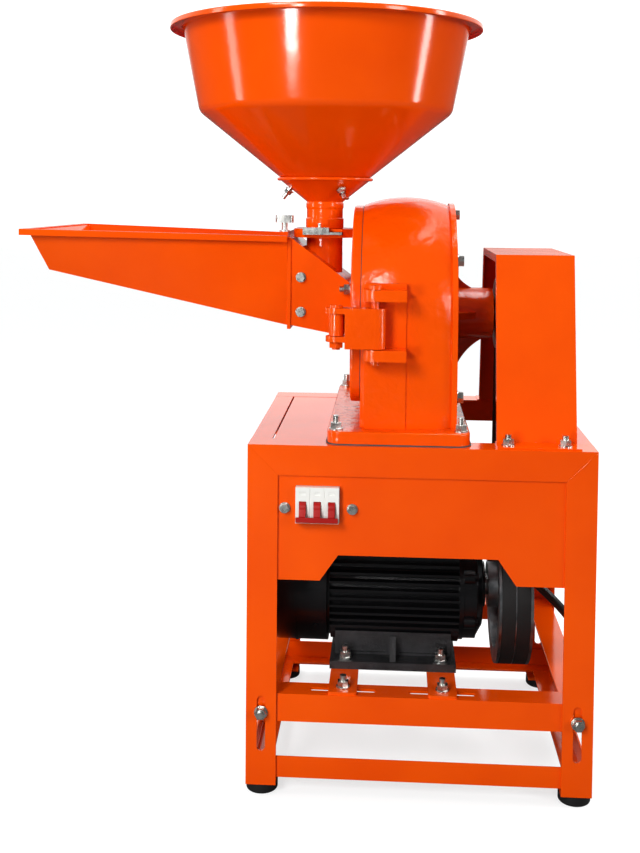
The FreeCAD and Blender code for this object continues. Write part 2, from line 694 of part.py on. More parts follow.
def tooth_ring():
    """Fixed ring on the door with a circle of square teeth between the rotor's claws and pins."""
    plate = ring((DOOR_IN, 0, AXIS_Z), AX, FIXED_RING_R, FIXED_HOLE_R, FIXED_RING_T)
    parts = [plate]
    x0 = DOOR_IN + FIXED_RING_T - 1
    for k in range(TOOTH_COUNT):
        tooth = box(x0, DISC_X - TOOTH_GAP, -5.0, 5.0, TOOTH_CIRCLE - 5, TOOTH_CIRCLE + 5)
        tooth.translate(Vector(0, 0, AXIS_Z))
        tooth.rotate(Vector(0, 0, AXIS_Z), AX, 360.0 * k / TOOTH_COUNT)
        parts.append(tooth)
    return joined(parts)


# Door
def feed_hole(x0, x1):
    return box(x0, x1, -FEED_W / 2, FEED_W / 2, AXIS_Z + FEED_LOW, AXIS_Z + FEED_HIGH)


def door():
    low = TOP + DOOR_BOTTOM
    plate = arch_face(DOOR_OUT, DOOR_R, low, DOOR_CORNER).extrude(Vector(DOOR_T, 0, 0))
    outer = [e for e in plate.Edges if e.BoundBox.XMax < DOOR_OUT + 0.1]
    plate = plate.makeFillet(3.0, outer)
    pocket = arch_face(DOOR_OUT - 1, DOOR_R - DOOR_RIM, low + DOOR_RIM, DOOR_CORNER - DOOR_RIM)
    plate = plate.cut(pocket.extrude(Vector(DOOR_RECESS + 1, 0, 0)))
    floor = DOOR_OUT + DOOR_RECESS
    pad = box(DOOR_OUT, floor + 1, -CHUTE_W / 2 - 20, CHUTE_W / 2 + 20, AXIS_Z - 40, AXIS_Z + 50)
    body = joined([plate, pad, hinge_lug(), lock_ear()])
    body = body.cut(feed_hole(DOOR_OUT - 1, DOOR_IN + 1))
    for y, z in chute_bolt_points():
        body = body.cut(rod((DOOR_OUT - 1, y, z), AX, M8[0], DOOR_T - 1))
    return body


def hinge_lug():
    """Lug on the door's outer face that fits between the link's ears."""
    z0 = AXIS_Z + EAR_LOW_Z + EAR_T + DOOR_LUG_GAP
    z1 = AXIS_Z + LINK_HIGH - EAR_T - DOOR_LUG_GAP
    r = 9.0
    x = DOOR_PIN_X
    eye = rod((x, PIN_Y, z0), AZ, r, z1 - z0)
    web = prism([(x - r, PIN_Y, z0), (x + r, PIN_Y, z0), (x + r, PIN_Y + 12, z0), (DOOR_OUT + 2, -DOOR_R + 4, z0),
                 (DOOR_OUT + 2, -DOOR_R + 40, z0), (x - r, -DOOR_R - 4, z0)], (0, 0, z1 - z0))
    lug = joined([eye, web])
    return lug.cut(rod((x, PIN_Y, z0 - 1), AZ, HINGE_PIN_R + RUN_FIT, z1 - z0 + 2))


def lock_ear():
    """Ear with a slot that is open below, where the swing bolt enters."""
    ear = box(DOOR_OUT, DOOR_IN, DOOR_R - 6, LOCK_Y + 15, AXIS_Z - 20, AXIS_Z + 20)
    return ear.cut(box(DOOR_OUT - 1, DOOR_IN + 1, LOCK_Y - 6.5, LOCK_Y + 6.5, AXIS_Z - 21, AXIS_Z + 6.5))


def door_gasket():
    low = TOP + DOOR_BOTTOM
    outer = arch_face(DOOR_IN, DOOR_R - 0.5, low + 1, DOOR_CORNER).extrude(Vector(GASKET_T, 0, 0))
    inner = arch_face(DOOR_IN - 1, DOOR_R - 7, low + 8, DOOR_CORNER - 8).extrude(Vector(GASKET_T + 2, 0, 0))
    return outer.cut(inner)


def hinge_link():
    """Cast link: a block round the casing's pin with two ears round the door's pin."""
    z0, z1 = AXIS_Z + LINK_LOW, AXIS_Z + LINK_HIGH
    x_left = DOOR_PIN_X + 11.0
    block = joined([box(x_left, CASE_PIN_X, PIN_Y - LINK_R, PIN_Y + LINK_R, z0, z1),
                    rod((CASE_PIN_X, PIN_Y, z0), AZ, LINK_R, z1 - z0)])
    parts = [block]
    for z in (AXIS_Z + EAR_LOW_Z, z1 - EAR_T):
        parts.append(rod((DOOR_PIN_X, PIN_Y, z), AZ, LINK_R, EAR_T))
        parts.append(box(DOOR_PIN_X, x_left + 1, PIN_Y - LINK_R, PIN_Y + LINK_R, z, z + EAR_T))
    body = joined(parts)
    for x in (CASE_PIN_X, DOOR_PIN_X):
        body = body.cut(rod((x, PIN_Y, z0 - 1), AZ, HINGE_PIN_R, z1 - z0 + 2))
    return body


def hinge_pins():
    """Casing pin with its head above the upper lug, and the door pin with a nut below."""
    low = AXIS_Z + LOWER_LUG_Z
    high = AXIS_Z + UPPER_LUG_Z + LUG_T
    long_pin = joined([rod((CASE_PIN_X, PIN_Y, low - 6), AZ, HINGE_PIN_R, high + 1 - low + 6),
                       rod((CASE_PIN_X, PIN_Y, high + 0.4), AZ, 8.0, 5.0)])
    ear_low = AXIS_Z + EAR_LOW_Z
    ear_top = AXIS_Z + LINK_HIGH
    short_pin = joined([rod((DOOR_PIN_X, PIN_Y, ear_low - 10), AZ, HINGE_PIN_R, ear_top - ear_low + 10),
                        rod((DOOR_PIN_X, PIN_Y, ear_top), AZ, 8.0, 3.0),
                        hexagon((DOOR_PIN_X, PIN_Y, ear_low - 7.5), AZ, 8.0, 7.0)])
    return group([long_pin, short_pin])


def lock_bolt():
    """Swing bolt, hanging free beside the casing."""
    y0 = LOCK_Y - 6
    eye = rod((LOCK_X, y0, AXIS_Z), AY, 11.0, 12.0)
    stud = rod((LOCK_X, LOCK_Y, AXIS_Z - 9), AZ * -1, 5.0, LOCK_LEN - 9)
    body = joined([eye, stud])
    return body.cut(rod((LOCK_X, y0 - 1, AXIS_Z), AY, LOCK_PIN_R + RUN_FIT, 14.0))


def lock_nut():
    """Hand nut with two wings on the swing bolt."""
    z1 = AXIS_Z - LOCK_NUT_AT
    barrel_part = rod((LOCK_X, LOCK_Y, z1 - LOCK_NUT_L), AZ, 9.0, LOCK_NUT_L)
    wings = box(LOCK_X - 21, LOCK_X + 21, LOCK_Y - 3, LOCK_Y + 3, z1 - LOCK_NUT_L, z1 - 5)
    body = joined([barrel_part, wings])
    return body.cut(rod((LOCK_X, LOCK_Y, z1 - LOCK_NUT_L - 1), AZ, 5.0 + RUN_FIT, LOCK_NUT_L + 2))


# Chute, tray and hopper
def roof_z(x):
    return AXIS_Z + CHUTE_TOP - CHUTE_SLOPE * (x - (FLANGE_X + FLANGE_T))


def floor_z(x):
    return AXIS_Z + CHUTE_LOW - FLOOR_SLOPE * (x - (FLANGE_X + FLANGE_T))


def chute_block(inset, x0, x1):
    """Solid wedge between floor and roof, drawn in by inset on every side."""
    y = CHUTE_W / 2 - inset
    return prism([(x0, -y, floor_z(x0) + inset), (x1, -y, floor_z(x1) + inset),
                  (x1, -y, roof_z(x1) - inset), (x0, -y, roof_z(x0) - inset)], (0, 2 * y, 0))


def chute_bolt_points():
    return [(s * (CHUTE_W / 2 + 10), AXIS_Z + z) for s in (-1, 1) for z in (-26.0, 36.0)]


def chute():
    x0, x1 = FLANGE_X + FLANGE_T, DOOR_OUT
    shell = chute_block(0, x0, x1)
    z_low, z_top = floor_z(x0), roof_z(x0)
    inlet = box(FLANGE_X, x0, -CHUTE_W / 2 - 2.5, CHUTE_W / 2 + 2.5, z_low - 5, z_top + 1)
    flange = box(x1 - SHEET, x1, -CHUTE_W / 2 - 19, CHUTE_W / 2 + 19, AXIS_Z - 36, AXIS_Z + 46)
    tube = rod((HOPPER_X, 0, roof_z(HOPPER_X + NECK_R) - 5), AZ, NECK_R,
               TOP + PLATE_TOP - PLATE_H - roof_z(HOPPER_X + NECK_R) + 5)
    body = joined([shell, inlet, flange, tube])
    body = body.cut(chute_block(SHEET, FLANGE_X - 1, x1 + 1))
    half = CHUTE_W / 2 - TRAY_SHEET - 1.1
    guide = prism([(FLANGE_X + 1, half, z_low + 6), (FLANGE_X + 1, half + 1.2, z_low + 6),
                   (FLANGE_X - 5, half + 1.2, z_low + 6), (FLANGE_X - 5, half - 4, z_low + 6),
                   (FLANGE_X - 3, half - 4, z_low + 6), (FLANGE_X - 3, half, z_low + 6)], (0, 0, z_top - z_low - 14))
    body = joined([body, guide, mirror_y(guide)])
    body = body.cut(rod((HOPPER_X, 0, roof_z(HOPPER_X + NECK_R) - 30), AZ, NECK_BORE_R, 200))
    for y, z in chute_bolt_points():
        body = body.cut(rod((x1 - SHEET - 1, y, z), AX, M8[0] + 0.3, SHEET + 2))
    for x, z in side_bolt_points():
        body = body.cut(rod((x, -CHUTE_W, z), AY, M6[0] + 0.3, 2 * CHUTE_W))
    return body


def side_bolt_points():
    x = FLANGE_X + FLANGE_T + 13.5
    return [(x, AXIS_Z + 50.5), (x, AXIS_Z + 4.0)]


def around_cone(shape):
    """A piece built at the cone bolt's seat, pointing up, set at each of the three bolts."""
    slope = math.atan2(SHOULDER_Z - CONE_Z, SHOULDER_R - CONE_R)
    r = 49.0
    seat = CONE_Z + (r - CONE_R) * math.tan(slope) - (HOPPER_SHEET + NEST_GAP + COLLAR_SHEET) / math.cos(slope)
    placed = []
    for a in (180.0, 300.0, 60.0):
        piece = shape.copy()
        piece.rotate(Vector(0, 0, 0), AY, 180.0 - math.degrees(slope))
        piece.translate(Vector(r, 0, TOP + seat))
        piece.rotate(Vector(0, 0, 0), AZ, a)
        piece.translate(Vector(HOPPER_X, 0, 0))
        placed.append(piece)
    return placed


def feed_bolts():
    """Studs of the chute on the door, side bolts of the chute and cone bolts of the collar."""
    bolts = [screw((DOOR_OUT - SHEET, y, z), AX * -1, M8, SHEET + 8, 6.0) for y, z in chute_bolt_points()]
    for x, z in side_bolt_points():
        for s in (-1, 1):
            bolts.append(screw((x, s * CHUTE_W / 2, z), AY * s, M6, SHEET + 2))
    grip = HOPPER_SHEET + COLLAR_SHEET + NEST_GAP
    return group(bolts + around_cone(screw((0, 0, 0), AZ, M6, grip, 9.0)))


def cone_holes():
    return around_cone(rod((0, 0, -12), AZ, M6[0] + 0.3, 24))


def quad_wire(x_low, z_low, half_low, x_top, z_top, half_top):
    pts = [Vector(x_low, -half_low, z_low), Vector(x_low, half_low, z_low), Vector(x_top, half_top, z_top),
           Vector(x_top, -half_top, z_top)]
    return Part.makePolygon(pts + pts[:1])


def tray():
    """Folded feed tray: floor rising to the outer end, flared sides, rim turned out and down."""
    z_low, z_rim = floor_z(FLANGE_X + FLANGE_T), roof_z(FLANGE_X + FLANGE_T) + 1
    t = TRAY_SHEET
    half = CHUTE_W / 2
    end_low, end_rim = z_low + TRAY_FLOOR_RISE, z_rim + TRAY_RIM_RISE
    top_x = TRAY_END_X - TRAY_LEAN
    near = quad_wire(FLANGE_X, z_low, half, FLANGE_X, z_rim, half + 4)
    far = quad_wire(TRAY_END_X, end_low, TRAY_END_W / 2, top_x, end_rim, TRAY_END_TOP_W / 2)
    outer = Part.makeLoft([near, far], True, True)
    near_in = quad_wire(FLANGE_X + 1, z_low + t, half - t, FLANGE_X + 1, z_rim + t, half + 4 - t)
    far_in = quad_wire(TRAY_END_X + t, end_low + t, TRAY_END_W / 2 - t, top_x + t, end_rim + t,
                       TRAY_END_TOP_W / 2 - t)
    body = outer.cut(Part.makeLoft([near_in, far_in], True, True))
    return joined([body, tray_lip(z_rim, end_rim, top_x, half + 4)])


def tray_lip(z_near, z_far, x_far, half_near):
    """Rim flange round three sides with its outer edge folded down."""
    far = TRAY_END_TOP_W / 2
    t, w = TRAY_SHEET, TRAY_LIP

    def slab(grow, x_near, low, high):
        pts = [(x_near, -half_near - grow, z_near + low), (x_far - grow, -far - grow, z_far + low),
               (x_far - grow, far + grow, z_far + low), (x_near, half_near + grow, z_near + low)]
        return prism(pts, (0, 0, high - low))

    top = slab(w, FLANGE_X, 0, t).cut(slab(-t, FLANGE_X + 1, -t, 2 * t))
    down = slab(w, FLANGE_X, t - TRAY_LIP_H, 0).cut(slab(w - t, FLANGE_X + 1, -TRAY_LIP_H, t))
    return top.fuse(down)


def turned(points):
    """Closed profile of (radius, height) points turned about the hopper's axis."""
    wire = [Vector(HOPPER_X + r, 0, TOP + z) for r, z in points]
    return Part.Face(Part.makePolygon(wire + wire[:1])).revolve(Vector(HOPPER_X, 0, 0), AZ, 360)


def hopper():
    t = HOPPER_SHEET
    slope = (SHOULDER_Z - CONE_Z) / (SHOULDER_R - CONE_R)
    side = t * math.sqrt(1 + 1 / slope ** 2)
    low_r = NECK_R + 12
    low_z = CONE_Z + (low_r - CONE_R) * slope
    bowl = turned([
        (RIM_R, RIM_Z), (RIM_R, RIM_Z - RIM_LIP), (RIM_R - t, RIM_Z - RIM_LIP), (RIM_R - t, RIM_Z - t),
        (HOPPER_R, RIM_Z - t), (SHOULDER_R, SHOULDER_Z), (low_r, low_z), (low_r - side, low_z),
        (SHOULDER_R - t, SHOULDER_Z + t * 0.4), (HOPPER_R - t, RIM_Z)])
    return bowl.cut(cone_holes())


def hopper_collar():
    """Cup that the cone nests in, with a beaded rim, and the neck tube below it."""
    t = COLLAR_SHEET
    slope = (SHOULDER_Z - CONE_Z) / (SHOULDER_R - CONE_R)
    drop = NEST_GAP * math.sqrt(1 + slope ** 2)
    thick = t * math.sqrt(1 + slope ** 2)

    def cone(r, low=0.0):
        return CONE_Z + (r - CONE_R) * slope - drop - low

    neck_z = cone(NECK_R, thick)
    r_top = CONE_R - 1.0
    cup = turned([
        (NECK_BORE_R, PLATE_TOP), (NECK_R, PLATE_TOP), (NECK_R, PLATE_TOP + 1), (NECK_R + 1.2, PLATE_TOP + 1),
        (NECK_R + 1.2, PLATE_TOP + 13), (NECK_R, PLATE_TOP + 14), (NECK_R, neck_z - 9), (NECK_R + 0.8, neck_z - 8),
        (NECK_R + 0.8, neck_z - 2), (NECK_R, neck_z), (r_top, cone(r_top, thick)), (CONE_R + 3, cone(r_top, thick)),
        (CONE_R + 4, cone(r_top, thick) + 2), (CONE_R + 3, cone(r_top) + 1.5), (r_top, cone(r_top)),
        (NECK_BORE_R, cone(NECK_BORE_R))])
    return cup.cut(cone_holes())


def gate_housing():
    x, y, c = PLATE_SIZE_X / 2, PLATE_SIZE_Y / 2, PLATE_CUT
    z = TOP + PLATE_TOP - PLATE_H
    pts = [(-x + c, -y), (x - c, -y), (x, -y + c), (x, y - c), (x - c, y), (-x + c, y), (-x, y - c), (-x, -y + c)]
    plate = prism([(HOPPER_X + px, py, z) for px, py in pts], (0, 0, PLATE_H))
    mid = z + PLATE_H / 2
    slot = box(HOPPER_X - GATE_SLOT_W / 2, HOPPER_X + GATE_SLOT_W / 2, -y - 1, y - 8,
               mid - GATE_SLOT_H / 2, mid + GATE_SLOT_H / 2)
    bore = rod((HOPPER_X, 0, z - 1), AZ, NECK_BORE_R, PLATE_H + 2)
    hole = rod((HOPPER_X + x - 9, -y + 13, z + PLATE_H - 3), AZ, 2.0, 4)
    return plate.cut(slot).cut(bore).cut(hole)


def slide_gate():
    """Silver slide plate with a raised bar and a peg to pull it by."""
    z = TOP + PLATE_TOP - PLATE_H / 2
    w = GATE_SLOT_W / 2 - 0.6
    front = -PLATE_SIZE_Y / 2
    plate = box(HOPPER_X - w, HOPPER_X + w, front - 8, front - 8 + 80, z - GATE_T / 2, z + GATE_T / 2)
    bar = box(HOPPER_X - w, HOPPER_X + 9, front - 10, front - 2, z - GATE_T / 2, z + 8)
    peg = rod((HOPPER_X - 4, front - 6, z + 8), AZ, 2.2, 6)
    return joined([plate, bar, peg])


def tray_gate():
    z_low = floor_z(FLANGE_X + FLANGE_T) + TRAY_SHEET + 1.5
    x1 = FLANGE_X - 0.5
    half = CHUTE_W / 2 - TRAY_SHEET - 1.5
    z_top = AXIS_Z + CHUTE_TOP + 8
    plate = box(x1 - TRAY_GATE_T, x1, -half, half, z_low, z_top)
    lug = box(x1 - TRAY_GATE_T - 8, x1, HANDLE_Y - 9, HANDLE_Y + 9, z_top - 2, z_top)
    return joined([plate, lug])


def gate_handle():
    """T-headed pull screwed to the tray gate's lug."""
    x = FLANGE_X - 0.5 - TRAY_GATE_T - 3.5
    z = AXIS_Z + CHUTE_TOP + 8
    parts = [rod((x, HANDLE_Y, z), AZ, 7.0, 2.0), rod((x, HANDLE_Y, z), AZ, STEM_R, 16.0),
             rounded_plate(x, HANDLE_Y, z + 12, 24.0, 13.0, 10.0, 4.0)]
    return joined(parts)


# Belt drive
def groove_cut(x, radius):
    """Ring-shaped V-groove tool, a little wider than the belt."""
    lean = math.tan(math.radians(GROOVE_ANGLE / 2))
    half = BELT_TOP / 2 + BELT_CLEAR / math.cos(math.radians(GROOVE_ANGLE / 2))
    deep = BELT_H + 1.5
    pts = [(x - half - lean * 2, radius + 2), (x + half + lean * 2, radius + 2),
           (x + half - lean * deep, radius - deep), (x - half + lean * deep, radius - deep)]
    wire = [Vector(px, 0, pz) for px, pz in pts]
    return Part.Face(Part.makePolygon(wire + wire[:1])).revolve(Vector(0, 0, 0), AX, 360)


def pulley(radius, bore, hub_r, hub_out, webbed):
    body = rod((PULLEY_X0, 0, 0), AX, radius, PULLEY_W)
    for s in (-1, 1):
        body = body.cut(groove_cut(RIM_X + s * BELT_PITCH / 2, radius))
    if webbed:
        rim_in = radius - BELT_H - 9
        for x0 in (PULLEY_X0 - 1, PULLEY_X1 - 13):
            body = body.cut(ring((x0, 0, 0), AX, rim_in, hub_r, 14))
        for k in range(4):
            a = math.pi / 4 + math.pi / 2 * k
            r = (rim_in + hub_r) / 2
            body = body.cut(rod((PULLEY_X0 - 1, r * math.cos(a), r * math.sin(a)), AX, 16.0, PULLEY_W + 2))
    hub = rod((PULLEY_X0 - hub_out, 0, 0), AX, hub_r, PULLEY_W + hub_out)
    return body.fuse(hub).cut(rod((PULLEY_X0 - hub_out - 1, 0, 0), AX, bore, PULLEY_W + hub_out + 2)).removeSplitter()


def mill_pulley():
    body = pulley(MILL_PULLEY_R, SHAFT_R, 24.0, 2.0, False)
    body.translate(Vector(0, 0, AXIS_Z))
    return body


def motor_pulley():
    body = pulley(MOTOR_PULLEY_R, MOTOR_SHAFT_R, 30.0, 8.0, True)
    body.translate(Vector(0, MOTOR_Y, MOTOR_Z))
    return body


def belt(x):
    """One V-belt: two straight runs and two arcs round the pulleys."""
    r1, r2 = MILL_PULLEY_R, MOTOR_PULLEY_R
    c1, c2 = Vector(x, 0, AXIS_Z), Vector(x, MOTOR_Y, MOTOR_Z)
    span = (c2 - c1).Length
    down = (c2 - c1).normalize()
    side = Vector(0, down.z, -down.y)
    lean = math.asin((r1 - r2) / span)

    def touch(centre, radius, s):
        return centre + (side * (s * math.cos(lean)) + down * math.sin(lean)) * radius

    a1, b1 = touch(c1, r1, 1), touch(c1, r1, -1)
    a2, b2 = touch(c2, r2, 1), touch(c2, r2, -1)
    path = Part.Wire([Part.makeLine(a1, a2), Part.Arc(a2, c2 + down * r2, b2).toShape(), Part.makeLine(b2, b1),
                      Part.Arc(b1, c1 - down * r1, a1).toShape()])
    out = (a1 - c1).normalize()
    lower = BELT_TOP / 2 - BELT_H * math.tan(math.radians(GROOVE_ANGLE / 2))
    corners = [a1 + AX * (BELT_TOP / 2), a1 - AX * (BELT_TOP / 2), a1 - AX * lower - out * BELT_H,
               a1 + AX * lower - out * BELT_H]
    profile = Part.makePolygon(corners + corners[:1])
    return path.makePipeShell([profile], True, False)


def drive_belts():
    return group([belt(RIM_X + s * BELT_PITCH / 2) for s in (-1, 1)])


def belt_guard():
    """Sheet guard: front, top and rear wall with an inturned lip, a closed outer side and two feet."""
    x0, x1 = GUARD_X0, GUARD_X0 + GUARD_W
    t = GUARD_SHEET
    foot_y = YO - ANGLE
    top_y, z1 = GUARD_TOP_D / 2, TOP + GUARD_H

    def section(inset, x, length):
        y_low = foot_y - inset
        y_top = top_y - inset
        return prism([(x, -y_low, TOP - 1), (x, -y_top, z1 - inset), (x, y_top, z1 - inset), (x, y_low, TOP - 1)],
                     (length, 0, 0))

    shell = section(0, x0, GUARD_W)
    shell = shell.cut(section(t, x0 + t, GUARD_W - 2 * t))
    shell = shell.cut(section(t + GUARD_LIP, x0 - 1, t + 2))
    shell = shell.cut(box(x0 - 1, x1 + 1, -YO, YO, TOP - 2, TOP))
    foot = box(x0 - 2, x1 + 1, foot_y - 3, foot_y + GUARD_FOOT, TOP, TOP + t)
    body = joined([shell, foot, mirror_y(foot)])
    for x, y in guard_bolt_points():
        body = body.cut(rod((x, y, TOP - 1), AZ, M8[0] + 0.5, t + 2))
    return body


def discharge_duct():
    """Sloped duct under the casing that opens at the rear, with a flange under the base."""
    t = 2.0
    x0, x1 = OUTLET_X - OUTLET_W / 2 - t, OUTLET_X + OUTLET_W / 2 + t
    y0, y1, y_end = -OUTLET_D / 2 - t, OUTLET_D / 2 + t, YO + DUCT_OUT
    z1 = TOP - STEEL
    flange = box(x0 - 1, x1 + 8, y0 - 8, y1 + 8, z1, TOP)
    pts = [(y0, z1), (y0, z1 - DUCT_NECK), (y_end, z1 - DUCT_FALL), (y_end, z1 - DUCT_MOUTH),
           (y1, z1 - DUCT_ROOF), (y1, z1)]
    outer = prism([(x0, y, z) for y, z in pts], (x1 - x0, 0, 0))
    pts_in = [(y0 + t, TOP + 1), (y0 + t, z1 - DUCT_NECK + t), (y_end + 1, z1 - DUCT_FALL + t),
              (y_end + 1, z1 - DUCT_MOUTH - t), (y1 - t, z1 - DUCT_ROOF - t), (y1 - t, TOP + 1)]
    inner = prism([(x0 + t, y, z) for y, z in pts_in], (x1 - x0 - 2 * t, 0, 0))
    return joined([flange, outer]).cut(inner)


# Motor cradle
def cradle_rail_front():
    x = XO - STEEL - 0.5
    y0 = -YO + STEEL + SLIDE_GAP
    z0 = CRADLE_TOP - CRADLE_ANGLE
    wall = box(-x, x, y0, y0 + STEEL, z0, CRADLE_TOP)
    leaf = box(-x, x, y0 + STEEL, y0 + CRADLE_ANGLE, CRADLE_TOP - STEEL, CRADLE_TOP)
    rail = joined([wall, leaf])
    for sx in (-1, 1):
        rail = rail.cut(slot_x(motor_rail_x(sx), rail_bolt_y(-1), CRADLE_TOP - STEEL - 1, CRADLE_TOP + 1, 9.0,
                               RAIL_SLOT_L))
        rail = rail.cut(rod((sx * (XO - ANGLE / 2), y0 - 1, CRADLE_BOLT_Z), AY, M8[0] + 0.4, STEEL + 2))
    return rail


def motor_rail_x(side):
    return MOTOR_X + side * FOOT_PITCH_X / 2


def rail_bolt_y(side):
    return side * (YO - STEEL - SLIDE_GAP - CRADLE_ANGLE / 2)


def cradle_side_rails():
    x1 = XO - STEEL - 0.5
    end = YO - STEEL - SLIDE_GAP - CRADLE_ANGLE
    right = joined([box(x1 - STEEL, x1, -end, end, CRADLE_TOP - CRADLE_ANGLE, CRADLE_TOP),
                    box(x1 - CRADLE_ANGLE, x1 - STEEL, -end, end, CRADLE_TOP - STEEL, CRADLE_TOP)])
    return group([right, mirror_x(right)])


def motor_rails():
    strips = []
    end = YO - STEEL - SLIDE_GAP - 1.0
    for sx in (-1, 1):
        x = motor_rail_x(sx)
        strip = rounded_plate(x, 0, CRADLE_TOP, MOTOR_RAIL_W, 2 * end, MOTOR_RAIL_T, 4.0)
        for sy in (-1, 1):
            strip = strip.cut(rod((x, rail_bolt_y(sy), CRADLE_TOP - 1), AZ, M8[0] + 0.4, MOTOR_RAIL_T + 2))
            y = MOTOR_Y + sy * FOOT_PITCH_Y / 2
            strip = strip.cut(rod((x, y, CRADLE_TOP - 1), AZ, M8[0] + 0.4, MOTOR_RAIL_T + 2))
        strips.append(strip)
    return group(strips)


def cradle_bolts():
    bolts = []
    grip = 2 * STEEL + 2 * SLIDE_GAP
    for sx in (-1, 1):
        for sy in (-1, 1):
            seat = (sx * (XO - ANGLE / 2), sy * (YO + SLIDE_GAP), CRADLE_BOLT_Z)
            bolts.append(screw(seat, AY * sy, M8, grip, 3.0))
    return group(bolts)


def motor_bolts():
    """Foot bolts of the motor and clamp bolts of the motor rails, one size."""
    bolts = []
    for sx in (-1, 1):
        for sy in (-1, 1):
            x = motor_rail_x(sx)
            foot = (x, MOTOR_Y + sy * FOOT_PITCH_Y / 2, FOOT_TOP)
            bolts.append(screw(foot, AZ, M8, FOOT_PLATE_T + MOTOR_RAIL_T, 7.0))
            rail = (x, rail_bolt_y(sy), CRADLE_TOP + MOTOR_RAIL_T)
            bolts.append(screw(rail, AZ, M8, MOTOR_RAIL_T + STEEL, 7.0))
    return group(bolts)


# Motor
def motor_foot():
    """Cast foot: flange, rough pedestal with pockets and a middle rib, hollowed for the body."""
    z0 = CRADLE_TOP + MOTOR_RAIL_T
    flange = box(MOTOR_X - FOOT_PLATE_X / 2, MOTOR_X + FOOT_PLATE_X / 2, MOTOR_Y - FOOT_PLATE_Y / 2,
                 MOTOR_Y + FOOT_PLATE_Y / 2, z0, FOOT_TOP)
    half_x, half_y = BLOCK_X / 2, BLOCK_Y / 2
    block = box(MOTOR_X - half_x, MOTOR_X + half_x, MOTOR_Y - half_y, MOTOR_Y + half_y, FOOT_TOP - 1,
                MOTOR_Z - MOTOR_H / 3)
    ribs = []
    for s in (-1, 1):
        y_in, y_up, y_out = [MOTOR_Y + s * (half_y + d) for d in (-1, 2, FOOT_RIB - 2)]
        ribs.append(prism([(MOTOR_X - 4, y_in, FOOT_TOP - 1), (MOTOR_X - 4, y_out, FOOT_TOP - 1),
                           (MOTOR_X - 4, y_up, FOOT_TOP + FOOT_RIB), (MOTOR_X - 4, y_in, FOOT_TOP + FOOT_RIB)],
                          (8, 0, 0)))
    body = joined([flange, block] + ribs)
    for s in (-1, 1):
        for x0, x1 in ((MOTOR_X - half_x + 5, MOTOR_X - 9), (MOTOR_X + 9, MOTOR_X + half_x - 5)):
            y0, y1 = sorted((MOTOR_Y + s * (half_y - 3), MOTOR_Y + s * (half_y + 2)))
            body = body.cut(box(x0, x1, y0, y1, FOOT_TOP + 3, FOOT_TOP + FOOT_RIB - 1))
    body = body.cut(rod((MOTOR_X - 200, MOTOR_Y, MOTOR_Z), AX, FIN_R, 400))
    for sx in (-1, 1):
        for sy in (-1, 1):
            x, y = motor_rail_x(sx), MOTOR_Y + sy * FOOT_PITCH_Y / 2
            body = body.cut(rod((x, y, z0 - 1), AZ, M8[0] + 0.4, FOOT_PLATE_T + 2))
            body = body.cut(rod((x, y, FOOT_TOP), AZ, M8[3] + 1.5, 60))
    return body


def motor_body():
    """Cast body with level fins at the sides and upright fins above and below."""
    core = rod((BODY_X0, 0, 0), AX, CORE_R, BODY_X1 - BODY_X0)
    fins = []
    for k in range(-FIN_ROWS, FIN_ROWS + 1):
        c = k * FIN_PITCH
        reach = math.sqrt(max(FIN_R ** 2 - (abs(c) + FIN_T / 2) ** 2, 1.0))
        fins.append(box(BODY_X0 + 4, BODY_X1 - 6, -reach, reach, c - FIN_T / 2, c + FIN_T / 2))
        fins.append(box(BODY_X0 + 4, BODY_X1 - 6, c - FIN_T / 2, c + FIN_T / 2, -reach, reach))
    ends = [rod((BODY_X0, 0, 0), AX, FIN_R - 5, 4), rod((BODY_X1 - 6, 0, 0), AX, FIN_R - 3, 6)]
    body = joined([core] + ends + fins)
    body = body.cut(rod((BODY_X0 - 1, 0, 0), AX, MOTOR_SHAFT_R + RUN_FIT, BODY_X1 - BODY_X0 + 2))
    body.translate(Vector(0, MOTOR_Y, MOTOR_Z))
    return body


def motor_end_bell():
    """Drive-end shield with four bolt ears and a stepped nose."""
    x0 = BODY_X1
    disc = rod((x0, 0, 0), AX, FIN_R - 5, BELL_L - 9)
    step = Part.makeCone(FIN_R - 7, FIN_R - 22, 9, Vector(x0 + BELL_L - 9, 0, 0), AX)
    nose = rod((x0 + BELL_L - 10, 0, 0), AX, 30.0, 15.0)
    parts = [disc, step, nose]
    for a in (25.0, 155.0, 205.0, 335.0):
        ear = rod((x0, 0, FIN_R - 6), AX, 9.0, BELL_L - 12)
        head = hexagon((x0 + BELL_L - 12, 0, FIN_R - 6), AX, 5.0, 5.0)
        pair = ear.fuse(head)
        pair.rotate(Vector(0, 0, 0), AX, a - 90.0)
        parts.append(pair)
    body = joined(parts).cut(rod((x0 - 1, 0, 0), AX, MOTOR_SHAFT_R + RUN_FIT, BELL_L + 20))
    body.translate(Vector(0, MOTOR_Y, MOTOR_Z))
    return body


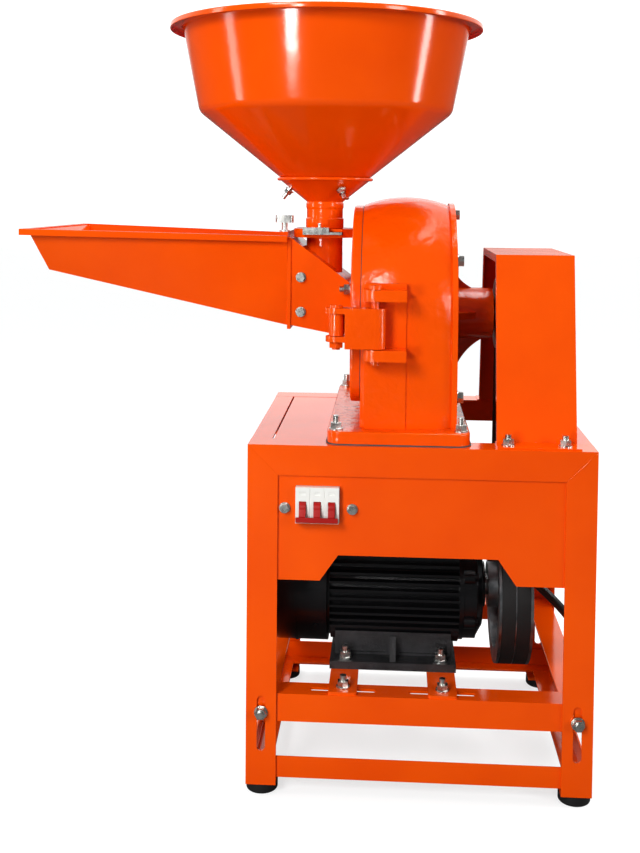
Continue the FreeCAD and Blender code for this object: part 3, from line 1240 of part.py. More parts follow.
def fan_cowl():
    """Pressed cover over the fan, with a seam ring and an air grille in its end."""
    length = BODY_X0 - COWL_X0
    skin = rod((COWL_X0, 0, 0), AX, COWL_R, length)
    end = [e for e in skin.Edges if e.BoundBox.XMax < COWL_X0 + 0.1]
    skin = skin.makeFillet(12.0, end)
    hollow = rod((COWL_X0 + COWL_T, 0, 0), AX, COWL_R - COWL_T, length)
    hollow = hollow.makeFillet(11.0, [e for e in hollow.Edges if e.BoundBox.XMax < COWL_X0 + COWL_T + 0.1])
    skin = skin.cut(hollow)
    seam = ring((COWL_X0 + 33, 0, 0), AX, COWL_R + 1.2, COWL_R - 0.5, 3.0)
    skin = joined([skin, seam])
    for k in range(-4, 5):
        z = k * 12.0
        reach = math.sqrt(54.0 ** 2 - z ** 2)
        for y0, y1 in ((-reach, -4.0), (4.0, reach)):
            skin = skin.cut(box(COWL_X0 - 1, COWL_X0 + COWL_T + 1, y0, y1, z - 3, z + 3))
    for a in (150.0, 210.0, 30.0, 330.0):
        knob = rod((BODY_X0 - 14, 0, COWL_R - 1), AZ, 4.0, 2.5)
        knob.rotate(Vector(0, 0, 0), AX, a - 90.0)
        skin = skin.fuse(knob)
    foot_ring = ring((BODY_X0 - 3, 0, 0), AX, COWL_R - COWL_T, FIN_R - 8, 3.0)
    skin = joined([skin, foot_ring])
    skin.translate(Vector(0, MOTOR_Y, MOTOR_Z))
    return skin


def terminal_box():
    z0 = MOTOR_Z + FIN_R - 4
    x, y = MOTOR_X, MOTOR_Y
    case = rounded_plate(x, y, z0, BOX_X, BOX_Y, BOX_Z - 6, 6.0)
    lid = rounded_plate(x, y, z0 + BOX_Z - 6, BOX_X + 4, BOX_Y + 4, 6.0, 7.0)
    body = joined([case, lid])
    return body.cut(rod((x - BOX_X, y, MOTOR_Z), AX, FIN_R + 0.2, 2 * BOX_X))


def motor_shaft():
    shaft = rod((COWL_X0 + 26, 0, 0), AX, MOTOR_SHAFT_R, PULLEY_X1 + 2 - COWL_X0 - 26)
    tip = [e for e in shaft.Edges if e.Length > 60 and e.BoundBox.XLength < 0.1]
    shaft = shaft.makeChamfer(1.5, tip)
    shaft.translate(Vector(0, MOTOR_Y, MOTOR_Z))
    return shaft


def motor_fan():
    x0, x1 = COWL_X0 + 24, COWL_X0 + 58
    hub = rod((x0, 0, 0), AX, 24.0, x1 - x0)
    disc = rod((x1 - 3, 0, 0), AX, FAN_R, 3.0)
    parts = [hub, disc]
    for k in range(7):
        blade = box(x0 + 3, x1 - 1, -1.5, 1.5, 20.0, FAN_R - 1)
        blade.rotate(Vector(0, 0, 0), AX, 360.0 * k / 7)
        parts.append(blade)
    body = joined(parts).cut(rod((x0 - 1, 0, 0), AX, MOTOR_SHAFT_R, x1 - x0 + 2))
    body.translate(Vector(0, MOTOR_Y, MOTOR_Z))
    return body


# Supply cord
def cable_gland():
    """Gland in the breaker's rear cover, facing along the panel."""
    x = BREAKER_X + BREAKER_W / 2
    y, z = gland_point()
    nut = hexagon((x, y, z), AX, 10.0, 6.0)
    dome = Part.makeCone(9.0, 7.0, 9.0, Vector(x + 6, y, z), AX)
    return joined([nut, dome]).cut(rod((x - 1, y, z), AX, CORD_R, 18))


def gland_point():
    return (-YO + 42.0, BREAKER_Z - 24.0)


def cord_points():
    """Chosen route: out of the gland, along behind the panel, down beside the rear leg, to the coil."""
    gy, gz = gland_point()
    x0 = BREAKER_X + BREAKER_W / 2 + 15.0
    side, rear = XO, YO
    return [(x0, gy, gz), (x0 + 50, gy, gz - 3), (x0 + 102, gy - 1, gz - 14), (x0 + 158, gy - 2, gz - 33),
            (x0 + 214, gy - 2, gz - 64), (side - 40, gy + 14, gz - 108), (side - 5, -92, 187),
            (side + 22, -30, 128), (side + 37, 20, 74), (side + 43, 60, 30), (side + 44, 104, 8),
            (side + 43, rear - 42, 6), (side + 37, rear, 6), (side + 13, rear + 30, 6),
            (side - 27, rear + 42, 6), (side - 75, rear + 43, 6), (side - 125, rear + 39, 6),
            (side - 175, rear + 36, 6), (side - 215, rear + 39, 6)]


def rounded_path(points, share=0.45):
    """Straight runs joined by tangent arcs as large as the runs allow."""
    pts = [Vector(*p) for p in points]
    edges, radii = [], []
    last = pts[0]
    for before, at, after in zip(pts, pts[1:], pts[2:]):
        into, out = (at - before), (after - at)
        reach = share * min(into.Length, out.Length)
        u, v = into.normalize(), out.normalize()
        turn = math.acos(max(-1.0, min(1.0, u.dot(v))))
        start, end = at - u * reach, at + v * reach
        radius = reach / math.tan(turn / 2)
        bisector = (v - u).normalize()
        mid = at + bisector * (radius / math.cos(turn / 2) - radius)
        edges.append(Part.LineSegment(last, start).toShape())
        edges.append(Part.Arc(start, mid, end).toShape())
        radii.append(radius)
        last = end
    edges.append(Part.LineSegment(last, pts[-1]).toShape())
    return Part.Wire(edges), radii


def supply_cord():
    path, radii = rounded_path(cord_points())
    first = Vector(*cord_points()[0])
    direction = (Vector(*cord_points()[1]) - first).normalize()
    circle = Part.Wire(Part.Circle(first, direction, CORD_R).toShape())
    tube = path.makePipeShell([circle], True, False)
    print("cord radii", [round(r) for r in radii], "length", round(path.Length),
          "volume share", round(tube.Volume / (path.Length * math.pi * CORD_R ** 2), 3))
    return tube


def cord_coil():
    return ring((COIL_X, COIL_Y, 0.3), AZ, COIL_OUT_R, COIL_IN_R, COIL_H)


def supply_plug():
    """Moulded plug with three round pins, lying on the coil."""
    x, y, z = COIL_X - 34.0, COIL_Y, COIL_H + 0.6
    body = box(x - 22, x + 22, y - 24, y + 24, z, z + 30)
    body = body.makeFillet(6.0, [e for e in body.Edges if e.Length > 40])
    pins = [rod((x + dx, y + dy, z + 28), AZ, 3.4, 18) for dx, dy in ((-11, -12), (-11, 12), (11, 0))]
    return joined([body] + pins)


def nodes():
    """Every node's name and shape."""
    leg = leg_front_left()
    front_rail = top_rail_front()
    side_rail = top_rail_left()
    cradle_front = cradle_rail_front()
    return {
        "leg_front_left": leg, "leg_front_right": mirror_x(leg),
        "legs_rear": group([mirror_y(leg), mirror_x(mirror_y(leg))]), "top_rail_front": front_rail,
        "top_rail_rear": mirror_y(front_rail), "top_rails_side": group([side_rail, mirror_x(side_rail)]),
        "bottom_rails": group(bottom_rails()), "rubber_feet": rubber_feet(),
        "front_panel": front_panel(), "top_panel": top_panel(), "breaker_body": breaker_body(),
        "breaker_toggles": breaker_toggles(), "panel_bolts": panel_bolts(), "mill_casing": mill_casing(),
        "base_gasket": base_gasket(), "mill_bolts": mill_bolts(), "bearing_bracket": bearing_bracket(),
        "mill_bearings": mill_bearings(), "bearing_cover": bearing_cover(),
        "mill_shaft": mill_shaft(), "rotor": rotor(), "screen_ring": screen_ring(), "tooth_ring": tooth_ring(),
        "door": door(), "door_gasket": door_gasket(), "hinge_link": hinge_link(), "hinge_pins": hinge_pins(),
        "lock_bolt": lock_bolt(), "lock_nut": lock_nut(), "chute": chute(), "feed_bolts": feed_bolts(),
        "tray": tray(), "hopper": hopper(), "hopper_collar": hopper_collar(), "gate_housing": gate_housing(),
        "slide_gate": slide_gate(), "tray_gate": tray_gate(), "gate_handle": gate_handle(),
        "mill_pulley": mill_pulley(), "motor_pulley": motor_pulley(), "drive_belts": drive_belts(),
        "belt_guard": belt_guard(), "discharge_duct": discharge_duct(),
        "cradle_rails": group([cradle_front, mirror_y(cradle_front)]), "cradle_side_rails": cradle_side_rails(),
        "motor_rails": motor_rails(), "cradle_bolts": cradle_bolts(), "motor_bolts": motor_bolts(),
        "motor_foot": motor_foot(), "motor_body": motor_body(), "motor_end_bell": motor_end_bell(),
        "fan_cowl": fan_cowl(), "terminal_box": terminal_box(), "motor_shaft": motor_shaft(),
        "motor_fan": motor_fan(), "cable_gland": cable_gland(), "supply_cord": supply_cord(),
        "cord_coil": cord_coil(), "supply_plug": supply_plug()}


def main():
    os.makedirs("parts", exist_ok=True)
    for name, shape in nodes().items():
        shape.exportStep(f"parts/{name}.step")
        print(name, len(shape.Solids), round(shape.Volume / 1000, 1), "ok" if shape.isValid() else "INVALID")


main()
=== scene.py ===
# %% [markdown]
# A spice grinding mill on its steel stand. Almost everything on it is sheet or cast iron under one
# bright orange enamel, so the picture stands on three things: how thick enamel rounds and glosses its
# edges, how rough the castings stay under the paint, and the black motor and pulleys low in the stand.
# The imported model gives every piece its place, and this file gives each one its surface.

# %% Load the model
import bpy
import math
import numpy as np
from mathutils import Matrix, Vector


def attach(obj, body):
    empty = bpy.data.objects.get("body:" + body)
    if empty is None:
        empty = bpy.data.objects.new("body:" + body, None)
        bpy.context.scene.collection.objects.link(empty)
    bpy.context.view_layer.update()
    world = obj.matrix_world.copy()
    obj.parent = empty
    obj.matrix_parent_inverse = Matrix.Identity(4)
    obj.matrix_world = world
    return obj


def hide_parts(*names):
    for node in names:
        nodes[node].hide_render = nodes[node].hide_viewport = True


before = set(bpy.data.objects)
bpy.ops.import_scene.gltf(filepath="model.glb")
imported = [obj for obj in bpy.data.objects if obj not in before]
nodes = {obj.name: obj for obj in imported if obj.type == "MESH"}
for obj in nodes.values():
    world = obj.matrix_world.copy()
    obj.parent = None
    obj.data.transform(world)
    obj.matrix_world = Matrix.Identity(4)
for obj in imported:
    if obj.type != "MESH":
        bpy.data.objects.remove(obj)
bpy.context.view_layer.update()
print("pieces in the model:", len(nodes))

# %% [markdown]
# Lengths are easiest to read in millimetres, as on the drawing, and Blender wants metres. Colours are
# easiest to name as sRGB hex values, and shaders want linear light, so one function turns them.

# %% Units and colours
MM = 0.001


def linear(code):
    """An sRGB hex colour as linear red, green, blue and alpha."""
    channels = np.array([int(code[k:k + 2], 16) for k in (1, 3, 5)]) / 255.0
    light = np.where(channels <= 0.04045, channels / 12.92, ((channels + 0.055) / 1.055) ** 2.4)
    return (*[float(c) for c in light], 1.0)


def add(tree, kind, links=None, values=None, **settings):
    """Adds one node: settings are its own options, values fill its sockets, links feed them."""
    made = tree.nodes.new(kind)
    for key, value in settings.items():
        setattr(made, key, value)
    for key, value in (values or {}).items():
        made.inputs[key].default_value = value
    for key, source in (links or {}).items():
        tree.links.new(source, made.inputs[key])
    return made


def start_material(name, **sockets):
    """A new material, its node tree and its shader, with the shader's own sockets set."""
    material = bpy.data.materials.new(name)
    material.use_nodes = True
    tree = material.node_tree
    shader = tree.nodes["Principled BSDF"]
    for key, value in sockets.items():
        shader.inputs[key.replace("_", " ").title().replace("Ior", "IOR")].default_value = value
    return material, tree, shader


print("mid grey in linear light:", [round(c, 3) for c in linear("#808080")[:3]])

# %% [markdown]
# The camera stands at the height of the mill's shaft and a little above, nearly opposite the stand's
# middle and 1.4 m in front of its panel. It is tipped down by only 2.5 degrees and its image is shifted
# instead, as with a studio camera, so the legs stay nearly upright.

# %% Camera
PHOTO_LONG_SIDE = 853
FOCAL_PX = 1137.0
SHIFT_PX = -180.0
SENSOR_MM = 36.0
CAMERA_PLACE = (-0.0386, -1.580, 0.750)
camera_data = bpy.data.cameras.new("studio_camera")
camera_data.sensor_width = SENSOR_MM
camera_data.lens = FOCAL_PX / PHOTO_LONG_SIDE * SENSOR_MM
camera_data.shift_y = SHIFT_PX / PHOTO_LONG_SIDE
camera = bpy.data.objects.new("studio_camera", camera_data)
bpy.context.scene.collection.objects.link(camera)
YAW, PITCH, ROLL = 3.65, 2.49, 0.53
turn = (Matrix.Rotation(math.radians(YAW), 4, "Z") @ Matrix.Rotation(math.radians(90 - PITCH), 4, "X")
        @ Matrix.Rotation(math.radians(ROLL), 4, "Z"))
camera.matrix_world = Matrix.Translation(CAMERA_PLACE) @ turn
bpy.context.scene.camera = camera
print("lens", round(camera_data.lens, 1), "mm")

# %% [markdown]
# The mill stands on a white shooting table in front of a backdrop, both lit to pure white for the lens
# alone, and the floor sends little of that light back to the mill. For the mill itself the room is dark on
# the camera's side and bright high up behind: upright faces keep their full colour, and top faces take a
# pale sheen from the backdrop. A softbox at the front left models the round forms and a weaker one at the
# right opens the shadows. Two small lamps reach under the panel to the black motor, one hangs overhead for
# the top faces, and two tall strip lights draw the upright streaks on the hopper.

# %% Floor and lights
FLOOR_REACH = 14.0
FLOOR_GLOW = 0.55
FLOOR_BOUNCE = 0.28
ROOM_DARK, ROOM_BRIGHT = 0.14, 1.15
floor_material, floor_tree, floor_shader = start_material("white_shooting_table", roughness=0.7,
                                                          specular_ior_level=0.1)
floor_noise = add(floor_tree, "ShaderNodeTexNoise", values={"Scale": 3.0, "Detail": 2.0})
floor_tone = add(floor_tree, "ShaderNodeValToRGB", links={"Fac": floor_noise.outputs["Fac"]})
floor_tone.color_ramp.elements[0].color = linear("#A9ABAB")
floor_tone.color_ramp.elements[1].color = linear("#B3B5B5")
floor_seen = add(floor_tree, "ShaderNodeLightPath").outputs["Is Camera Ray"]
floor_side = add(floor_tree, "ShaderNodeMapRange", links={"Value": floor_seen}, values={"To Min": FLOOR_BOUNCE})
floor_colour = add(floor_tree, "ShaderNodeVectorMath", operation="SCALE",
                   links={0: floor_tone.outputs["Color"], "Scale": floor_side.outputs["Result"]})
floor_tree.links.new(floor_colour.outputs["Vector"], floor_shader.inputs["Base Color"])
floor_shader.inputs["Emission Color"].default_value = linear("#FFFFFF")
floor_glow = add(floor_tree, "ShaderNodeMath", links={0: floor_seen}, values={1: FLOOR_GLOW},
                 operation="MULTIPLY")
floor_tree.links.new(floor_glow.outputs["Value"], floor_shader.inputs["Emission Strength"])
floor_mesh = bpy.data.meshes.new("studio_floor")
floor_corners = [(x * FLOOR_REACH, y * FLOOR_REACH, 0) for x, y in ((-1, -1), (1, -1), (1, 1), (-1, 1))]
floor_mesh.from_pydata(floor_corners, [], [(0, 1, 2, 3)])
floor_mesh.materials.append(floor_material)
floor = bpy.data.objects.new("studio_floor", floor_mesh)
bpy.context.scene.collection.objects.link(floor)

world = bpy.data.worlds.new("white_studio")
world.use_nodes = True
backdrop = world.node_tree.nodes["Background"]
backdrop.inputs["Color"].default_value = linear("#FFFFFF")
look = add(world.node_tree, "ShaderNodeTexCoord").outputs["Generated"]
look_parts = add(world.node_tree, "ShaderNodeSeparateXYZ", links={"Vector": look}).outputs
above = add(world.node_tree, "ShaderNodeMapRange", links={"Value": look_parts["Z"]},
            values={"From Min": 0.02, "From Max": 0.14})
behind = add(world.node_tree, "ShaderNodeMapRange", links={"Value": look_parts["Y"]},
             values={"From Min": -0.15, "From Max": 0.45})
screen = add(world.node_tree, "ShaderNodeMath",
             links={0: above.outputs["Result"], 1: behind.outputs["Result"]}, operation="MULTIPLY")
tent = add(world.node_tree, "ShaderNodeMapRange", links={"Value": screen.outputs["Value"]},
           values={"To Min": ROOM_DARK, "To Max": ROOM_BRIGHT})
seen = add(world.node_tree, "ShaderNodeLightPath").outputs["Is Camera Ray"]
glow = add(world.node_tree, "ShaderNodeMath", links={0: tent.outputs["Result"], 1: seen}, operation="MAXIMUM")
world.node_tree.links.new(glow.outputs["Value"], backdrop.inputs["Strength"])
bpy.context.scene.world = world
bpy.context.scene.view_settings.view_transform = "Standard"
bpy.context.scene.view_settings.look = "Medium High Contrast"


def lamp(name, place, target, width, height, power):
    """A rectangular area lamp at place that looks at target."""
    data = bpy.data.lights.new(name, "AREA")
    data.shape = "RECTANGLE"
    data.size = width
    data.size_y = height
    data.energy = power
    made = bpy.data.objects.new(name, data)
    aim = (Vector(target) - Vector(place)).to_track_quat("-Z", "Y")
    made.matrix_world = Matrix.Translation(place) @ aim.to_matrix().to_4x4()
    bpy.context.scene.collection.objects.link(made)
    return made


lamp("key_softbox", (-1.3, -2.3, 1.9), (0, 0, 0.5), 0.7, 0.7, 36.0)
lamp("fill_softbox", (2.2, -1.9, 1.2), (0, 0, 0.45), 0.6, 0.9, 18.0)
lamp("low_softbox", (-0.95, -1.9, 0.45), (0, 0, 0.25), 0.3, 0.3, 10.0)
lamp("front_softbox", (-0.75, -2.2, 1.25), (0, 0, 0.25), 0.25, 0.25, 6.0)
lamp("top_softbox", (0.0, 0.2, 2.4), (0, 0, 0.5), 1.0, 1.0, 24.0)
lamp("left_strip", (-2.1, -0.5, 1.0), (0, 0, 0.8), 0.3, 1.6, 8.0)
lamp("right_strip", (2.0, -0.1, 1.0), (0, 0, 0.8), 0.25, 1.6, 15.0)

# %% [markdown]
# Sprayed alkyd enamel on sheet steel. A thick gloss coat rounds small unevenness into orange peel,
# ripples about 6 mm across and a few hundredths deep, on top of slow waves of 45 mm in the sheet, so
# reflections wobble instead of mirroring. The colour is one strong orange that a real sprayer never lays
# quite evenly: it drifts a little over a hand's width. On the castings the sand's grain of 2 mm and lumps of
# 17 mm stay visible under the same enamel.

# %% Enamel on sheet steel


def enamel(name, casting):
    """Gloss orange enamel: on smooth sheet, or on sand-cast iron where the casting's grain shows through."""
    made, tree, shader = start_material(name, roughness=0.12 if casting else 0.13, ior=1.50)
    place = add(tree, "ShaderNodeTexCoord").outputs["Object"]
    drift = add(tree, "ShaderNodeTexNoise", links={"Vector": place}, values={"Scale": 9.0, "Detail": 3.0})
    colour = add(tree, "ShaderNodeValToRGB", links={"Fac": drift.outputs["Fac"]})
    colour.color_ramp.elements[0].position = 0.3
    colour.color_ramp.elements[0].color = linear("#E65300")
    colour.color_ramp.elements[1].position = 0.7
    colour.color_ramp.elements[1].color = linear("#EE5B00")
    tree.links.new(colour.outputs["Color"], shader.inputs["Base Color"])
    peel = add(tree, "ShaderNodeTexNoise", links={"Vector": place}, values={"Scale": 165.0, "Detail": 1.5})
    slow = add(tree, "ShaderNodeTexNoise", links={"Vector": place}, values={"Scale": 22.0, "Detail": 1.0})
    bump = add(tree, "ShaderNodeBump", links={"Height": slow.outputs["Fac"]},
               values={"Strength": 0.35, "Distance": 0.0012})
    bump = add(tree, "ShaderNodeBump", links={"Height": peel.outputs["Fac"], "Normal": bump.outputs["Normal"]},
               values={"Strength": 0.16, "Distance": 0.0004})
    if casting:
        grain = add(tree, "ShaderNodeTexNoise", links={"Vector": place},
                    values={"Scale": 420.0, "Detail": 4.0, "Roughness": 0.7})
        bump = add(tree, "ShaderNodeBump", values={"Strength": 0.30, "Distance": 0.0006},
                   links={"Height": grain.outputs["Fac"], "Normal": bump.outputs["Normal"]})
        lumps = add(tree, "ShaderNodeTexNoise", links={"Vector": place}, values={"Scale": 60.0, "Detail": 2.0})
        bump = add(tree, "ShaderNodeBump", values={"Strength": 0.45, "Distance": 0.0030},
                   links={"Height": lumps.outputs["Fac"], "Normal": bump.outputs["Normal"]})
    tree.links.new(bump.outputs["Normal"], shader.inputs["Normal"])
    return made


sheet_enamel = enamel("orange_enamel_on_sheet", False)
cast_enamel = enamel("orange_enamel_on_casting", True)
print("enamels:", sheet_enamel.name, cast_enamel.name)

# %% [markdown]
# The motor carries a thin black enamel that takes sharp glints. It lies smooth on the pressed cowl and lets
# some grain through on the finned body. On the foot, the roughest casting, grain of 2 to 3 mm stands out
# strongly, and the colour is a greyer black.

# %% Black motor enamel


def black_enamel(name, grain_depth, gloss, dark="#08080A", light="#1A1A1C"):
    """Thin black paint over cast or pressed metal, with grain as deep as the casting is rough."""
    made, tree, shader = start_material(name, roughness=gloss, ior=1.48)
    place = add(tree, "ShaderNodeTexCoord").outputs["Object"]
    cloud = add(tree, "ShaderNodeTexNoise", links={"Vector": place}, values={"Scale": 30.0, "Detail": 5.0})
    colour = add(tree, "ShaderNodeValToRGB", links={"Fac": cloud.outputs["Fac"]})
    colour.color_ramp.elements[0].color = linear(dark)
    colour.color_ramp.elements[1].color = linear(light)
    tree.links.new(colour.outputs["Color"], shader.inputs["Base Color"])
    grain = add(tree, "ShaderNodeTexNoise", links={"Vector": place},
                values={"Scale": 380.0, "Detail": 5.0, "Roughness": 0.75})
    bump = add(tree, "ShaderNodeBump", links={"Height": grain.outputs["Fac"]},
               values={"Strength": grain_depth, "Distance": 0.0014})
    tree.links.new(bump.outputs["Normal"], shader.inputs["Normal"])
    return made


motor_enamel = black_enamel("black_enamel_on_cast_iron", 0.25, 0.20)
rough_enamel = black_enamel("black_enamel_on_rough_casting", 1.0, 0.16, "#101011", "#3C3C3E")
cowl_enamel = black_enamel("black_enamel_on_pressed_steel", 0.08, 0.24)
print("motor enamels:", motor_enamel.name, rough_enamel.name, cowl_enamel.name)

# %% [markdown]
# Bare metals: bright zinc plating on the bolts, which is a little uneven and faintly warm; turned steel
# on shafts; and grey cast iron on the pulleys and the grinding parts, whose turning marks are drawn only
# as a fine scratchy bump.

# %% Zinc, steel and machined iron


def bare_metal(name, dark, light, rough_low, rough_high, blotch, scratch):
    """A metal whose colour and roughness drift in blotches of a given size per metre, with fine scratches."""
    made, tree, shader = start_material(name, metallic=1.0)
    place = add(tree, "ShaderNodeTexCoord").outputs["Object"]
    cloud = add(tree, "ShaderNodeTexNoise", links={"Vector": place}, values={"Scale": blotch, "Detail": 4.0})
    colour = add(tree, "ShaderNodeValToRGB", links={"Fac": cloud.outputs["Fac"]})
    colour.color_ramp.elements[0].position = 0.3
    colour.color_ramp.elements[0].color = linear(dark)
    colour.color_ramp.elements[1].position = 0.7
    colour.color_ramp.elements[1].color = linear(light)
    tree.links.new(colour.outputs["Color"], shader.inputs["Base Color"])
    rough = add(tree, "ShaderNodeMapRange", links={"Value": cloud.outputs["Fac"]},
                values={"To Min": rough_low, "To Max": rough_high})
    tree.links.new(rough.outputs["Result"], shader.inputs["Roughness"])
    fine = add(tree, "ShaderNodeTexNoise", links={"Vector": place}, values={"Scale": 900.0, "Detail": 3.0})
    bump = add(tree, "ShaderNodeBump", links={"Height": fine.outputs["Fac"]},
               values={"Strength": scratch, "Distance": 0.0003})
    tree.links.new(bump.outputs["Normal"], shader.inputs["Normal"])
    return made


zinc = bare_metal("bright_zinc_plating", "#B4B5B2", "#DEDEDA", 0.20, 0.36, 140.0, 0.15)
steel = bare_metal("turned_steel", "#8E8F90", "#B9BABB", 0.22, 0.38, 90.0, 0.12)
iron = bare_metal("machined_grey_iron", "#6E7072", "#A6A8AA", 0.30, 0.50, 60.0, 0.30)
print("metals:", zinc.name, steel.name, iron.name)

# %% [markdown]
# Rubber and plastics: vulcanised rubber on feet and belts, soft vinyl on the supply cord, nylon on the fan
# and the plug, white thermoset on the breaker, red thermoset on its levers, and grey board in the gaskets.

# %% Rubber and plastics


def moulded(name, dark, light, gloss, grain_size, grain_depth):
    """A moulded surface with two close tones and a grain of a given size in millimetres."""
    made, tree, shader = start_material(name, roughness=gloss, ior=1.50)
    place = add(tree, "ShaderNodeTexCoord").outputs["Object"]
    cloud = add(tree, "ShaderNodeTexNoise", links={"Vector": place}, values={"Scale": 45.0, "Detail": 3.0})
    colour = add(tree, "ShaderNodeValToRGB", links={"Fac": cloud.outputs["Fac"]})
    colour.color_ramp.elements[0].color = linear(dark)
    colour.color_ramp.elements[1].color = linear(light)
    tree.links.new(colour.outputs["Color"], shader.inputs["Base Color"])
    grain = add(tree, "ShaderNodeTexNoise", links={"Vector": place}, values={"Scale": 1000.0 / grain_size})
    bump = add(tree, "ShaderNodeBump", links={"Height": grain.outputs["Fac"]},
               values={"Strength": grain_depth, "Distance": 0.0004})
    tree.links.new(bump.outputs["Normal"], shader.inputs["Normal"])
    return made


rubber = moulded("vulcanised_rubber", "#101010", "#1D1D1D", 0.68, 1.2, 0.35)
belt_rubber = moulded("belt_rubber_and_canvas", "#141414", "#262626", 0.60, 0.9, 0.60)
vinyl = moulded("soft_vinyl_sheath", "#0D0D0D", "#161616", 0.42, 1.6, 0.15)
breaker_white = moulded("white_thermoset", "#DADAD5", "#EAEAE6", 0.36, 1.0, 0.12)
lever_red = moulded("red_thermoset", "#8E1210", "#B01C18", 0.28, 1.2, 0.08)
black_plastic = moulded("black_nylon", "#121212", "#1E1E1F", 0.45, 1.0, 0.20)
board = moulded("gasket_board", "#3F4142", "#5A5C5C", 0.80, 0.8, 0.50)
print("mouldings:", rubber.name, vinyl.name, breaker_white.name)

# %% [markdown]
# The model's meshes are loose triangles. A weld modifier joins them, and another shades every edge flatter
# than 35 degrees smooth, so round things look round. Folded and painted edges get a narrow bevel, the small
# radius that catches the light. Before it, each flat is made one face, and after it the big flats keep their
# own direction, so no bevel bends the light on them. The meshes themselves are left alone.

# %% Smooth shading and soft edges
WELD_MM = 0.01
FLAT_DEGREES, SMOOTH_DEGREES, SHARP_DEGREES = 0.6, 35.0, 40.0
smooth_group = bpy.data.node_groups.new("shade_by_angle", "GeometryNodeTree")
smooth_group.interface.new_socket("Geometry", in_out="INPUT", socket_type="NodeSocketGeometry")
smooth_group.interface.new_socket("Geometry", in_out="OUTPUT", socket_type="NodeSocketGeometry")
group_in = add(smooth_group, "NodeGroupInput").outputs["Geometry"]
edge_angle = add(smooth_group, "GeometryNodeInputMeshEdgeAngle")
flat_enough = add(smooth_group, "FunctionNodeCompare", links={0: edge_angle.outputs["Unsigned Angle"]},
                  values={1: math.radians(SMOOTH_DEGREES)}, data_type="FLOAT", operation="LESS_THAN")
faces_smooth = add(smooth_group, "GeometryNodeSetShadeSmooth", links={"Geometry": group_in}, domain="FACE")
edges_smooth = add(smooth_group, "GeometryNodeSetShadeSmooth", domain="EDGE",
                   links={"Geometry": faces_smooth.outputs["Geometry"],
                          "Shade Smooth": flat_enough.outputs["Result"]})
add(smooth_group, "NodeGroupOutput", links={"Geometry": edges_smooth.outputs["Geometry"]})


def round_off(piece, edge_mm):
    """Welds a piece, bevels its sharp edges by a width in millimetres and shades its round faces smooth."""
    joined = piece.modifiers.new("weld", "WELD")
    joined.merge_threshold = WELD_MM * MM
    if edge_mm:
        flats = piece.modifiers.new("whole_flats", "DECIMATE")
        flats.decimate_type = "DISSOLVE"
        flats.angle_limit = math.radians(FLAT_DEGREES)
        bevel = piece.modifiers.new("soft_edges", "BEVEL")
        bevel.width = edge_mm * MM
        bevel.segments = 2
        bevel.limit_method = "ANGLE"
        bevel.angle_limit = math.radians(SHARP_DEGREES)
        bevel.use_clamp_overlap = True
        bevel.miter_outer = "MITER_ARC"
    piece.modifiers.new("shade", "NODES").node_group = smooth_group
    if edge_mm:
        flat = piece.modifiers.new("flat_faces_stay_flat", "WEIGHTED_NORMAL")
        flat.keep_sharp = True


def paint(material, *names):
    """Gives model pieces a material through their own slots."""
    for name in names:
        piece = nodes[name]
        if not piece.material_slots:
            piece.data.materials.append(None)
        for slot in piece.material_slots:
            slot.link = "OBJECT"
            slot.material = material


paint(sheet_enamel, "leg_front_left", "leg_front_right", "legs_rear", "top_rail_front", "top_rail_rear",
      "top_rails_side", "bottom_rails", "front_panel", "top_panel", "chute", "tray", "hopper", "hopper_collar",
      "belt_guard", "discharge_duct", "cradle_rails", "cradle_side_rails", "motor_rails", "tray_gate",
      "gate_housing", "bearing_cover")
paint(cast_enamel, "mill_casing", "bearing_bracket", "door", "hinge_link", "hinge_pins")
paint(zinc, "panel_bolts", "mill_bolts", "cradle_bolts", "motor_bolts", "feed_bolts", "gate_handle",
      "slide_gate", "lock_bolt", "lock_nut")
paint(motor_enamel, "motor_body", "motor_end_bell", "terminal_box")
paint(rough_enamel, "motor_foot")
paint(cowl_enamel, "fan_cowl")
paint(steel, "mill_shaft", "motor_shaft", "mill_bearings", "screen_ring")
paint(iron, "rotor", "tooth_ring", "mill_pulley", "motor_pulley")
paint(breaker_white, "breaker_body")
paint(lever_red, "breaker_toggles")
paint(black_plastic, "motor_fan", "cable_gland", "supply_plug")
paint(rubber, "rubber_feet")
paint(belt_rubber, "drive_belts")
paint(vinyl, "supply_cord", "cord_coil")
paint(board, "base_gasket", "door_gasket")

EDGES_MM = {
    "motor_body": 0.7, "leg_front_left": 1.0, "leg_front_right": 1.0, "legs_rear": 1.0,
    "top_rail_front": 1.0, "top_rail_rear": 1.0, "top_rails_side": 1.0, "bottom_rails": 1.0,
    "front_panel": 0.6, "top_panel": 0.6, "cradle_side_rails": 1.0, "breaker_body": 0.5,
    "breaker_toggles": 0.5, "belt_guard": 0.8, "hinge_link": 1.2, "gate_housing": 0.6,
}
for name, piece in nodes.items():
    round_off(piece, EDGES_MM.get(name, 0.0))
print("model pieces with soft edges:", len(EDGES_MM))

# %% [markdown]
# The supply cord leaves a gland on the back of the breaker, runs along behind the panel, goes down outside
# the stand to the floor and round the rear leg, and ends in a small coil behind the stand. It is one heavy
# three-core cord, 11 mm thick, drawn as one smooth NURBS line along the route's points, with a round bevel.

# %% Supply cord
CORD_DIAMETER = 0.011
ROUTE = [(-85.5, -148, 345.5), (-35.5, -148, 342.5), (16.5, -149, 331.5), (72.5, -150, 312.5),
         (128.5, -150, 281.5), (175, -134, 237.5), (210, -92, 187), (234, -30, 128), (246, 20, 74),
         (253, 60, 30), (257, 104, 8), (258, 148, 6), (252, 190, 6), (228, 220, 6), (188, 232, 6),
         (140, 233, 6), (90, 229, 6), (40, 226, 6), (0, 229, 6)]
COIL_CENTRE = (-30.0, 300.0)


